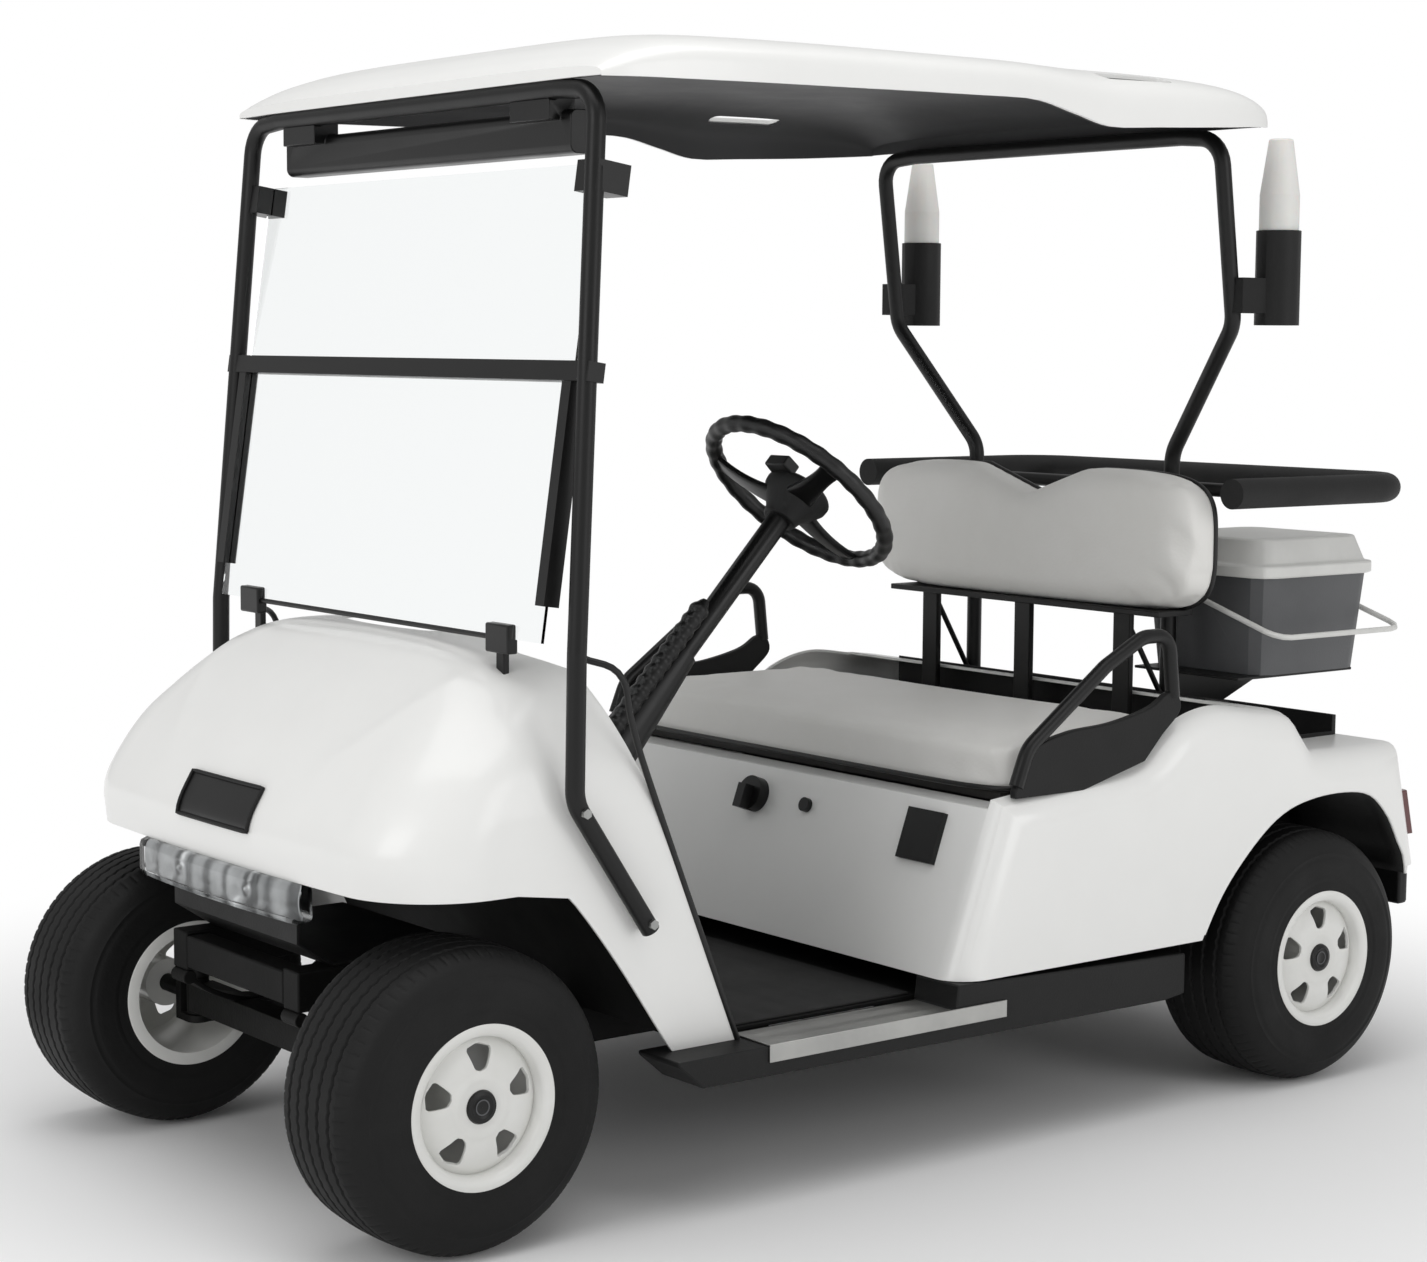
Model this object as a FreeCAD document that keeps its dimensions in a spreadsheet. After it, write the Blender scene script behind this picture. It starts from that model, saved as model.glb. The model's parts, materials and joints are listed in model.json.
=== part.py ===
import FreeCAD, Part
import math
import operator
import os
import Sketcher

# A two-seat golf cart with canopy, folding windshield, bag rack, cooler box and sand bottles.
# Millimetres. +X is forward, +Y is the driver's side, +Z is up.
# The origin is on the ground, below the middle of the cart's length and width.

Vector = FreeCAD.Vector
SIDES = {"left": 1, "right": -1}

SIZES = {
    # shared clearances and walls
    "fit_gap": 0.3,
    "shaft_gap": 0.4,
    "overrun": 20.0,
    "panel_wall": 5.0,
    # running gear
    "wheelbase": 1676.0,
    "rear_axle_x": -772.0,
    "front_track_half": 425.0,
    "rear_track_half": 488.0,
    # tyre
    "tyre_radius": 219.0,
    "tyre_half_width": 104.0,
    "tread_shoulder": 50.0,
    "bead_radius": 101.0,
    "bead_half_width": 100.0,
    "bead_flat": 14.0,
    # wheel disc and barrel
    "flange_lip": 16.0,
    "flange_thickness": 3.7,
    "barrel_wall": 3.5,
    "disc_offset": 90.0,
    "disc_thickness": 5.0,
    "disc_dish": 16.0,
    "disc_flat_radius": 56.0,
    "window_inner_radius": 50.0,
    "window_outer_radius": 86.0,
    "window_inner_width": 16.0,
    "window_outer_width": 44.0,
    "cap_radius": 24.0,
    "cap_height": 12.0,
    "hub_radius": 40.0,
    "hub_length": 94.0,
    "spindle_radius": 14.0,
    "spindle_depth": 40.0,
    # knuckle and steering
    "kingpin_y": 310.0,
    "kingpin_radius": 9.0,
    "eye_radius": 18.0,
    "eye_half_height": 30.0,
    "yoke_plate": 12.0,
    "yoke_radius": 20.0,
    "yoke_gap": 1.0,
    "yoke_block": 16.0,
    "steer_arm": 110.0,
    "steer_arm_inset": 22.0,
    "steer_eye_radius": 14.0,
    "tie_rod_radius": 6.0,
    "tie_rod_gap": 0.5,
    # chassis rails
    "rail_outer_y": 195.0,
    "rail_width": 45.0,
    "rail_height": 60.0,
    "rail_low_z": 180.0,
    "kick_up_z": 300.0,
    "frame_front_x": 1005.0,
    "frame_rear_x": -1080.0,
    "front_kick_x": 630.0,
    "front_kick_run": 80.0,
    "rear_kick_x": -480.0,
    "rear_kick_run": 100.0,
    "crossmember": 40.0,
    # springs and axles
    "beam_size": 44.0,
    "leaf_width": 44.0,
    "leaf_thickness": 9.0,
    "front_leaf_reach": 95.0,
    "spring_kick_reach": 172.0,
    "rear_leaf_reach": 230.0,
    "spring_eye_radius": 11.0,
    "axle_tube_radius": 30.0,
    "drum_radius": 84.0,
    "drum_width": 46.0,
    "diff_radius": 82.0,
    "diff_half_width": 62.0,
    "motor_radius": 84.0,
    "motor_length": 190.0,
    "motor_ahead": 172.0,
    # floor, mat and rockers
    "floor_z": 246.3,
    "floor_thickness": 6.0,
    "floor_rear_x": -60.0,
    "floor_half_width": 462.0,
    "toe_foot_x": 506.0,
    "toe_top_x": 665.0,
    "toe_top_z": 556.0,
    "mat_thickness": 4.0,
    "mat_margin": 8.0,
    "mat_notch_z": 430.0,
    "mat_notch_half": 50.0,
    "rocker_front_x": 595.0,
    "rocker_rear_x": -458.0,
    "rocker_low_z": 190.0,
    "rocker_nose_run": 45.0,
    "rocker_outer_y": 562.0,
    "rocker_top_drop": 6.0,
    "scuff_front_x": 430.0,
    "scuff_rear_x": -48.0,
    "scuff_thickness": 3.0,
    "scuff_inner_y": 478.0,
    "scuff_skirt": 24.0,
    # front cowl
    "cowl_front_x": 1036.0,
    "cowl_half_width": 500.0,
    "cowl_corner": 150.0,
    "cowl_bow": 10.0,
    "cowl_lip_z": 500.0,
    "cowl_top_z": 834.0,
    "cowl_rear_x": 400.0,
    "leg_front_foot_x": 561.0,
    "leg_rear_foot_x": 441.0,
    "leg_rear_mid_x": 618.0,
    "leg_rear_mid_z": 676.0,
    "leg_rear_top_x": 653.0,
    "leg_rear_top_z": 793.0,
    "arch_corner_x": 747.0,
    "arch_corner_z": 496.0,
    "arch_round": 40.0,
    "arch_mid_x": 660.0,
    "arch_mid_z": 385.0,
    "hood_edge_x": 748.0,
    "dash_recess": 26.0,
    "dash_shelf_x": 790.0,
    "pocket_depth": 90.0,
    "pocket_half_width": 130.0,
    "pocket_height": 90.0,
    "pocket_y": 215.0,
    "pocket_low_z": 660.0,
    # lamps and valance below the nose
    "lamp_half_width": 245.0,
    "lamp_height": 60.0,
    "lamp_depth": 46.0,
    "lamp_ahead": 14.0,
    "lamp_bow": 11.0,
    "valance_setback": 60.0,
    "valance_half_width": 190.0,
    "valance_low_z": 370.0,
    # rear body
    "body_half_width": 560.0,
    "body_foot_x": 52.0,
    "body_front_top_x": -48.0,
    "body_sill_front_z": 279.0,
    "body_sill_rear_z": 264.0,
    "body_shoulder_z": 556.0,
    "fender_top_z": 668.0,
    "body_rear_top_x": -1026.0,
    "body_rear_x": -1080.0,
    "body_rear_foot_z": 346.0,
    "body_round": 55.0,
    "rear_arch_reach": 250.0,
    # controls below the seat
    "control_z": 491.0,
    "control_plate": 10.0,
    "selector_y": -35.0,
    "selector_radius": 30.0,
    "key_y": 100.0,
    "key_radius": 12.0,
    "flap_y": 395.0,
    "flap_half": 42.0,
    # battery
    "battery_rear_x": -440.0,
    "battery_front_x": -104.0,
    "battery_half_width": 370.0,
    "battery_height": 264.0,
    # seat opening and bag well
    "seat_well_front_x": -98.0,
    "seat_well_rear_x": -540.0,
    "seat_well_half_width": 470.0,
    "lid_space_rear_x": -640.0,
    "lid_space_gap": 6.0,
    "seat_ledge_z": 540.0,
    "liner_low_z": 332.0,
    "well_front_x": -670.0,
    "well_rear_x": -1020.0,
    "well_half_width": 400.0,
    "well_floor_z": 450.0,
    "well_rim": 6.0,
    "strip_depth": 2.0,
    "well_tail_z": 602.0,
    # rear bumper and lamps
    "bumper_low_z": 262.0,
    "bumper_high_z": 340.0,
    "bumper_thickness": 36.0,
    "bumper_half_width": 505.0,
    "taillight_inner_y": 430.0,
    "taillight_outer_y": 545.0,
    "taillight_low_z": 400.0,
    "taillight_high_z": 480.0,
    "taillight_reach": 75.0,
    "taillight_depth": 8.0,
    # seat
    "seat_front_x": -75.0,
    "seat_rear_x": -555.0,
    "seat_half_width": 512.0,
    "seat_board": 15.0,
    "seat_cushion_height": 92.0,
    "seat_round": 30.0,
    # seat back
    "back_front_x": -600.0,
    "back_thickness": 78.0,
    "back_half_width": 424.0,
    "back_low_z": 807.0,
    "back_high_z": 1052.0,
    "back_round": 75.0,
    "back_notch_depth": 50.0,
    "back_notch_half": 80.0,
    "post_y": 250.0,
    "post_width": 40.0,
    "post_thickness": 12.0,
    "post_x": -614.0,
    "board_thickness": 10.0,
    # tubes of the canopy
    "strut_radius": 14.0,
    "strut_bend": 60.0,
    "strut_foot_x": 615.0,
    "strut_foot_z": 430.0,
    "strut_knee_z": 626.0,
    "strut_waist_x": 744.0,
    "strut_bracket_z": 690.0,
    "strut_top_z": 1612.0,
    "front_strut_y": 519.0,
    "front_strut_top_y": 488.0,
    "rear_strut_x": -732.0,
    "rear_knee_x": -684.0,
    "rear_strut_top_x": -642.0,
    "rear_strut_low_y": 252.0,
    "rear_strut_high_y": 430.0,
    # roof
    "roof_front_x": 702.0,
    "roof_rear_x": -676.0,
    "roof_half_width": 545.0,
    "roof_wall": 8.0,
    "roof_crown_z": 1715.0,
    "roof_front_z": 1629.0,
    "strut_top_x": 689.0,
    "boss_inner_y": 280.0,
    "boss_outer_y": 380.0,
    "grip_length": 164.0,
    "grip_width": 30.0,
    "grip_front_x": -272.0,
    "grip_y": 500.0,
    # windshield
    "pane_thickness": 5.0,
    "pane_half_width": 468.0,
    "pane_low_x": 767.0,
    "pane_low_z": 846.0,
    "pane_hinge_x": 711.0,
    "pane_split_z": 1228.0,
    "pane_top_z": 1520.0,
    "sill_half_width": 300.0,
    "sill_thickness": 12.0,
    "sill_drop": 34.0,
    "hinge_bar": 28.0,
    "channel_width": 22.0,
    "channel_depth": 26.0,
    "clamp_size": 44.0,
    "clamp_back": 26.0,
    "clamp_ahead": 30.0,
    "clamp_inner_y": 455.0,
    "clamp_outer_y": 506.0,
    "visor_half_width": 405.0,
    "visor_low_z": 1530.0,
    "visor_high_z": 1592.0,
    "visor_depth": 50.0,
    # steering column and wheel
    "column_foot_x": 510.0,
    "column_foot_z": 624.0,
    "column_top_x": 166.0,
    "column_top_z": 987.0,
    "column_run": 300.0,
    "column_clearance": 6.0,
    "boot_length": 200.0,
    "boot_foot_radius": 40.0,
    "boot_top_radius": 24.0,
    "column_y": 250.0,
    "column_radius": 19.0,
    "wheel_rim_radius": 161.0,
    "wheel_grip_radius": 14.0,
    "wheel_dish": 58.0,
    "hub_pad_radius": 52.0,
    "pedal_spread": 80.0,
    "pedal_lift": 45.0,
    "pedal_width": 90.0,
    "pedal_height": 110.0,
    # hip restraints
    "rest_radius": 12.0,
    "rest_y": 538.0,
    "rest_front_x": -78.0,
    "rest_low_z": 567.0,
    "rest_length": 360.0,
    "rest_height": 230.0,
    "rest_skirt": 14.0,
    # bag rack
    "rack_z": 1015.0,
    "rack_half_width": 470.0,
    "rack_front_x": -646.0,
    "rack_rear_x": -1111.0,
    "rack_radius": 26.0,
    # cooler
    "cooler_front_x": -769.0,
    "cooler_rear_x": -1058.0,
    "cooler_outer_y": 440.0,
    "cooler_inner_y": 150.0,
    "cooler_low_z": 690.0,
    "cooler_rim_z": 862.0,
    "cooler_lid_z": 930.0,
    "cooler_wall": 22.0,
    "cooler_taper": 14.0,
    "bail_gap": 22.0,
    "bail_pin_depth": 10.0,
    "bail_drop": 62.0,
    "bail_reach": 55.0,
    "bail_pin_radius": 4.0,
    "shelf_thickness": 5.0,
    "shelf_drop": 120.0,
    # bottles
    "bottle_x": -765.0,
    "bottle_y": 455.0,
    "bottle_radius": 34.0,
    "bottle_high_z": 1617.0,
    "holder_low_z": 1301.0,
    "holder_high_z": 1462.0,
    "holder_wall": 4.0,
    "holder_arm": 20.0,
    "bottle_neck_z": 1522.0,
}

document = FreeCAD.newDocument("GolfCart")
sheet = document.addObject("Spreadsheet::Sheet", "sizes")
for row, (word, value) in enumerate(SIZES.items(), start=1):
    sheet.set(f"A{row}", word)
    sheet.set(f"B{row}", str(value))
    sheet.setAlias(f"B{row}", word)
document.recompute()


class Size(float):
    """A length that keeps the sheet formula it was worked out from."""

    def __new__(cls, value, formula):
        size = super().__new__(cls, value)
        size.formula = formula
        return size

    def __add__(self, other):
        return combine(self, "+", other)

    def __radd__(self, other):
        return combine(other, "+", self)

    def __sub__(self, other):
        return combine(self, "-", other)

    def __rsub__(self, other):
        return combine(other, "-", self)

    def __mul__(self, other):
        return combine(self, "*", other)

    def __rmul__(self, other):
        return combine(other, "*", self)

    def __truediv__(self, other):
        return combine(self, "/", other)

    def __neg__(self):
        return combine(0, "-", self)


OPERATIONS = {"+": operator.add, "-": operator.sub, "*": operator.mul, "/": operator.truediv}


def formula_of(value):
    return value.formula if isinstance(value, Size) else f"{float(value):.9g}"


def combine(left, sign, right):
    value = OPERATIONS[sign](float(left), float(right))
    return Size(value, f"({formula_of(left)} {sign} {formula_of(right)})")


class Sizes:
    """The sheet's cells as plain attributes."""

    def __getattr__(self, word):
        return Size(sheet.get(word), f"sizes.{word}")


D = Sizes()
front_axle_x = D.rear_axle_x + D.wheelbase
axle_z = D.tyre_radius


def bind(item, prop, value):
    if isinstance(value, Size):
        item.setExpression(prop, value.formula)
    else:
        item.setExpression(prop, f"{float(value):.9g}")


NORMAL_SIGN = {"XY": 1, "XZ": -1, "YZ": 1}


class Piece:
    """One body of the document, built up from sketches bound to the sheet."""

    def __init__(self, name):
        self.body = document.addObject("PartDesign::Body", name)
        self.body.Label = name
        self.body.AllowCompound = True
        self.count = 0

    def feature(self, kind):
        self.count += 1
        word = kind.split("::")[1]
        return self.body.newObject(kind, f"{self.body.Name}_{word}_{self.count}")

    def plane(self, role):
        found = [item for item in self.body.Origin.OriginFeatures if item.Role == f"{role}_Plane"]
        return found[0]

    def sketch(self, role, loops, place):
        drawing = self.feature("Sketcher::SketchObject")
        drawing.AttachmentSupport = [(self.plane(role), "")]
        drawing.MapMode = "FlatFace"
        bind(drawing, "AttachmentOffset.Base.z", NORMAL_SIGN[role] * place)
        for loop in loops:
            if loop[0] == "circle":
                draw_circle(drawing, *loop[1:])
            else:
                draw_polygon(drawing, loop)
        return drawing

    def add(self, role, loops, low, high):
        """Pads the loops from low to high along the plane's axis."""
        start = low if NORMAL_SIGN[role] > 0 else high
        drawing = self.sketch(role, loops, start)
        pad = self.feature("PartDesign::Pad")
        pad.Profile = drawing
        bind(pad, "Length", high - low)
        document.recompute()
        return pad

    def cut(self, role, loops, low, high):
        """Pockets the loops from low to high along the plane's axis."""
        start = high if NORMAL_SIGN[role] > 0 else low
        drawing = self.sketch(role, loops, start)
        before = self.body.Shape.Volume
        pocket = self.feature("PartDesign::Pocket")
        pocket.Profile = drawing
        bind(pocket, "Length", high - low)
        document.recompute()
        if not pocket.Shape.Volume < before:
            raise ValueError(f"{pocket.Name} cuts nothing")
        return pocket

    def turn(self, loops):
        """Revolves the loops of the YZ plane about the Y axis."""
        drawing = self.sketch("YZ", loops, 0)
        revolution = self.feature("PartDesign::Revolution")
        revolution.Profile = drawing
        revolution.ReferenceAxis = (drawing, ["H_Axis"])
        document.recompute()
        return revolution

    def dress(self, kind, prop, size, chosen):
        base = self.body.Tip
        names = [f"Edge{i}" for i, edge in enumerate(base.Shape.Edges, start=1) if chosen(edge)]
        if not names:
            raise ValueError(f"no edge to dress on {self.body.Name}")
        feature = self.feature(kind)
        feature.Base = (base, names)
        bind(feature, prop, size)
        document.recompute()

    def round(self, radius, chosen):
        """Rounds each edge that the chosen test picks."""
        self.dress("PartDesign::Fillet", "Radius", radius, chosen)

    def bevel(self, size, chosen):
        """Bevels each edge that the chosen test picks."""
        self.dress("PartDesign::Chamfer", "Size", size, chosen)


def draw_polygon(drawing, points):
    first = drawing.GeometryCount
    total = len(points)
    for i, point in enumerate(points):
        after = points[(i + 1) % total]
        line = Part.LineSegment(Vector(point[0], point[1], 0), Vector(after[0], after[1], 0))
        drawing.addGeometry(line, False)
    for i in range(total):
        drawing.addConstraint(
            Sketcher.Constraint("Coincident", first + i, 2, first + (i + 1) % total, 1))
    for i, point in enumerate(points):
        for kind, value in zip(("DistanceX", "DistanceY"), point):
            index = drawing.addConstraint(
                Sketcher.Constraint(kind, -1, 1, first + i, 1, float(value)))
            bind(drawing, f"Constraints[{index}]", value)


def draw_circle(drawing, across, up, radius):
    circle = Part.Circle(Vector(across, up, 0), Vector(0, 0, 1), float(radius))
    number = drawing.addGeometry(circle, False)
    for kind, value in (("DistanceX", across), ("DistanceY", up)):
        index = drawing.addConstraint(
            Sketcher.Constraint(kind, -1, 1, number, 3, float(value)))
        bind(drawing, f"Constraints[{index}]", value)
    index = drawing.addConstraint(Sketcher.Constraint("Radius", number, float(radius)))
    bind(drawing, f"Constraints[{index}]", radius)


def rectangle(left, right, low, high):
    return [(left, low), (right, low), (right, high), (left, high)]


def is_near(value, target):
    return abs(value - target) < D.fit_gap / 3


def edges_along(axis, spots):
    """Picks straight edges parallel to an axis that pass through one of the spots."""
    others = [i for i in range(3) if i != axis]

    def test(edge):
        ends = [vertex.Point for vertex in edge.Vertexes]
        if len(ends) != 2 or is_near(ends[0][axis], ends[1][axis]):
            return False
        for spot in spots:
            if all(is_near(end[i], at) for end in ends for i, at in zip(others, spot)):
                return True
        return False
    return test


def solid(name, shape):
    """Puts a shape worked out by functions into the document as one sub-part."""
    item = document.addObject("Part::Feature", name)
    item.Label = name
    item.Shape = shape
    item.Placement = FreeCAD.Placement()
    return item


def block(x_range, y_range, z_range):
    low = Vector(min(x_range), min(y_range), min(z_range))
    high = Vector(max(x_range), max(y_range), max(z_range))
    return Part.makeBox(high.x - low.x, high.y - low.y, high.z - low.z, low)


def rod(start, end, radius):
    start, end = Vector(*start), Vector(*end)
    return Part.makeCylinder(float(radius), (end - start).Length, start, end - start)


def prism(points, low, high):
    """A solid with an outline in the XZ plane, from low to high along Y."""
    corners = [Vector(x, low, z) for x, z in points]
    face = Part.Face(Part.makePolygon(corners + corners[:1]))
    return face.extrude(Vector(0, high - low, 0))


def face_of(corners):
    return Part.Face(Part.makePolygon(corners + corners[:1]))


def faceted(rings, closed=False):
    """A solid of flat facets between rings of points, its ends flat unless the last ring meets the first."""
    rows = rings + rings[:1] if closed else rings
    count = len(rings[0])
    faces = [] if closed else [face_of(rings[0]), face_of(rings[-1])]
    for near, far in zip(rows, rows[1:]):
        for i in range(count):
            j = (i + 1) % count
            a, b, c, d = near[i], near[j], far[j], far[i]
            normal = (b - a).cross(d - a)
            if abs(normal.normalize().dot(c - a)) < D.fit_gap * 1e-6:
                faces.append(face_of([a, b, c, d]))
            else:
                faces += [face_of([a, b, c]), face_of([a, c, d])]
    shell = Part.makeShell(faces)
    shell.sewShape()
    return Part.makeSolid(shell)


TUBE_SIDES = 12
BEND_STEPS = 3
# How much of a straight run a bend at its end may use up
BEND_ROOM_SHARE = 0.48


def ring(centre, along, radius, sides, across=Vector(0, 1, 0)):
    """The corners of a regular polygon about a centre, square to a direction."""
    first = across.cross(along)
    if first.Length < radius * 1e-6:
        first = Vector(0, 0, 1).cross(along)
    first.normalize()
    second = along.cross(first).normalize()
    points = []
    for i in range(sides):
        angle = 2 * math.pi * (i + 0.5) / sides
        points.append(centre + first * (radius * math.cos(angle)) + second * (radius * math.sin(angle)))
    return points


def taper(start, end, start_radius, end_radius, sides=TUBE_SIDES):
    """A round bar or cone of flat facets."""
    start, end = Vector(*start), Vector(*end)
    along = (end - start).normalize()
    rings = [ring(spot, along, float(radius), sides)
             for spot, radius in ((start, start_radius), (end, end_radius))]
    return faceted(rings)


def bent_path(points, bend):
    """Stations along straight runs joined by arcs, each with its direction."""
    corners = [Vector(*point) for point in points]
    stations = [(corners[0], (corners[1] - corners[0]).normalize())]
    for before, corner, after in zip(corners, corners[1:], corners[2:]):
        inward, outward = (before - corner).normalize(), (after - corner).normalize()
        half = inward.getAngle(outward) / 2
        room = BEND_ROOM_SHARE * min((before - corner).Length, (after - corner).Length)
        reach = min(float(bend) / math.tan(half), room)
        radius = reach * math.tan(half)
        centre = corner + (inward + outward).normalize() * (reach / math.cos(half))
        start = corner + inward * reach - centre
        axis = inward.cross(outward).normalize()
        sweep = math.pi - 2 * half
        for i in range(BEND_STEPS + 1):
            turn = FreeCAD.Rotation(axis, -math.degrees(sweep * i / BEND_STEPS))
            stations.append((centre + turn.multVec(start), turn.multVec(inward * -1)))
    stations.append((corners[-1], (corners[-1] - corners[-2]).normalize()))
    return stations


def bent_tube(points, radius, bend):
    """A tube of flat facets along straight runs that are joined by arcs."""
    sections = []
    across = None
    for centre, along in bent_path(points, bend):
        if across is None:
            across = Vector(0, 1, 0) if abs(along.y) < 0.9 else Vector(0, 0, 1)
        across = (across - along * across.dot(along)).normalize()
        sections.append(ring(centre, along, float(radius), TUBE_SIDES, across))
    return faceted(sections)


def joined(shapes):
    """One shape of everything given, with its seams cleaned."""
    first, *rest = shapes
    return first.multiFuse(rest).removeSplitter() if rest else first


def mirrored(shape):
    return shape.mirror(Vector(0, 0, 0), Vector(0, 1, 0))


def both_sides(shape):
    return Part.makeCompound([shape, mirrored(shape)])


# Wheels and tyres


TYRE_SIDES = 48
WHEEL_SIDES = TYRE_SIDES // 2
WINDOW_COUNT = 5
# The tyre's profile from tread edge to bead, as shares of the shoulder inwards and downwards
SHOULDER_SHARES = [(1.0, 0.0), (0.32, 0.26), (0.0, 0.95)]


def turned(profile, sides):
    """A solid of flat facets turned about the axle from a profile of places along it and radii."""
    sections = []
    for i in range(sides):
        angle = 2 * math.pi * i / sides
        sections.append([Vector(radius * math.sin(angle), along, radius * math.cos(angle))
                         for along, radius in profile])
    return faceted(sections, closed=True)


def make_tyre(name, x, track_half):
    """A tyre with rounded shoulders between its tread and sidewalls, and a bore for the rim."""
    half, crown, shoulder = D.tyre_half_width, D.tyre_radius, D.tread_shoulder
    side = [(half - shoulder * inward, crown - shoulder * down) for inward, down in SHOULDER_SHARES]
    side += [(D.bead_half_width, D.bead_radius + D.bead_flat), (D.bead_half_width, D.bead_radius)]
    profile = [(-along, radius) for along, radius in side[::-1]] + side
    place_wheel(solid(name, turned(profile, TYRE_SIDES)), x, track_half)


def make_wheel(name, x, track_half):
    """A pressed disc wheel with five windows, its hub behind and a domed cap in front."""
    barrel = D.bead_radius - D.fit_gap
    inner = barrel - D.barrel_wall
    seat = D.bead_half_width + D.fit_gap
    lip = seat + D.flange_thickness
    rim_edge = D.bead_radius + D.flange_lip
    face = D.disc_offset
    back = face - D.disc_thickness
    root = back - D.disc_dish
    hub_back = back - D.hub_length
    bore = D.spindle_radius + D.shaft_gap
    outline = [
        (-lip, inner), (-lip, rim_edge), (-seat, rim_edge), (-seat, barrel), (seat, barrel),
        (seat, rim_edge), (lip, rim_edge), (lip, inner), (root + D.disc_thickness, inner),
        (face, D.disc_flat_radius), (face, bore), (hub_back, bore), (hub_back, D.hub_radius),
        (back, D.hub_radius), (back, D.disc_flat_radius), (root, inner)]
    shape = turned(outline, WHEEL_SIDES)
    cap_back = hub_back + D.spindle_depth
    plug = ring(Vector(0, cap_back, 0), Vector(0, 1, 0), float(bore), WHEEL_SIDES, Vector(0, 0, 1))
    cap = ring(Vector(0, face, 0), Vector(0, 1, 0), float(D.cap_radius), WHEEL_SIDES, Vector(0, 0, 1))
    shape = shape.fuse(face_of(plug).extrude(Vector(0, face - cap_back, 0)))
    shape = shape.fuse(face_of(cap).extrude(Vector(0, D.cap_height, 0)))
    window = []
    deep, clear = root - D.overrun, face + D.overrun
    for radius, width in ((D.window_inner_radius, D.window_inner_width),
                          (D.window_outer_radius, D.window_outer_width)):
        left, right = -width / 2, width / 2
        window.append([Vector(left, deep, radius), Vector(right, deep, radius),
                       Vector(right, clear, radius), Vector(left, clear, radius)])
    for i in range(WINDOW_COUNT):
        space = faceted(window)
        space.rotate(Vector(0, 0, 0), Vector(0, 1, 0), 360 * i / WINDOW_COUNT)
        shape = shape.cut(space)
    place_wheel(solid(name, shape), x, track_half)


def place_wheel(item, x, track_half):
    """Stands a wheel or tyre on its axle, with its face outwards."""
    if track_half < 0:
        item.Placement.Rotation = FreeCAD.Rotation(Vector(0, 0, 1), 180)
    bind(item, "Placement.Base.x", x)
    bind(item, "Placement.Base.y", track_half)
    bind(item, "Placement.Base.z", axle_z)


def make_wheels():
    for end, x, track in (("front", front_axle_x, D.front_track_half),
                          ("rear", D.rear_axle_x, D.rear_track_half)):
        for word, side in SIDES.items():
            make_tyre(f"tyre_{end}_{word}", x, side * track)
            make_wheel(f"wheel_{end}_{word}", x, side * track)


# Steering knuckles, tie rod and front suspension


def hub_back_y(track_half):
    """How far out the inner face of a hub lies."""
    return track_half + D.disc_offset - D.disc_thickness - D.hub_length


def make_knuckle(word, side):
    """A yoke about the kingpin, with its spindle, kingpin and steering arm."""
    x, y = front_axle_x, side * D.kingpin_y
    plates = []
    inner = D.eye_half_height + D.yoke_gap
    block_in = D.eye_radius + D.yoke_gap * 4
    block_out = block_in + D.yoke_block
    for up in (-1, 1):
        low, high = sorted((axle_z + up * inner, axle_z + up * (inner + D.yoke_plate)))
        plates.append(Part.makeCylinder(D.yoke_radius, D.yoke_plate, Vector(x, y, low)))
        plates.append(block((x - D.yoke_radius, x + D.yoke_radius),
                            (y, y + side * block_out), (low, high)))
    reach = inner + D.yoke_plate
    upright = block((x - D.yoke_radius, x + D.yoke_radius),
                    (y + side * block_in, y + side * block_out), (axle_z - reach, axle_z + reach))
    tip = side * (hub_back_y(D.front_track_half) + D.spindle_depth * 0.9)
    spindle = rod((x, y + side * block_in, axle_z), (x, tip, axle_z), D.spindle_radius)
    kingpin = Part.makeCylinder(D.kingpin_radius, reach * 2, Vector(x, y, axle_z - reach))
    arm_low = axle_z - reach
    arm_end = Vector(x - D.steer_arm, y - side * D.steer_arm_inset, arm_low)
    arm = steering_arm(Vector(x, y, arm_low), arm_end)
    solid(f"knuckle_{word}", joined(plates + [upright, spindle, kingpin, arm]))


def steering_arm(start, end):
    """A flat bar between two round ends."""
    run = (end - start).normalize()
    across = Vector(-run.y, run.x, 0) * float(D.steer_eye_radius)
    corners = [start + across, end + across, end - across, start - across]
    bar = Part.Face(Part.makePolygon(corners + corners[:1])).extrude(Vector(0, 0, D.yoke_plate))
    eye = Part.makeCylinder(D.steer_eye_radius, D.yoke_plate, end)
    return bar.fuse(eye)


def make_tie_rod():
    """A rod between two flat eyes that lie under the steering arms' ends."""
    top = axle_z - D.eye_half_height - D.yoke_gap - D.yoke_plate - D.tie_rod_gap
    x = front_axle_x - D.steer_arm
    half = D.kingpin_y - D.steer_arm_inset
    low = top - D.yoke_plate
    middle = top - D.yoke_plate / 2
    eyes = [Part.makeCylinder(D.steer_eye_radius, D.yoke_plate, Vector(x, side * half, low))
            for side in SIDES.values()]
    bar = taper((x, -half, middle), (x, half, middle), D.tie_rod_radius, D.tie_rod_radius)
    solid("tie_rod", joined(eyes + [bar]))


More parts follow.
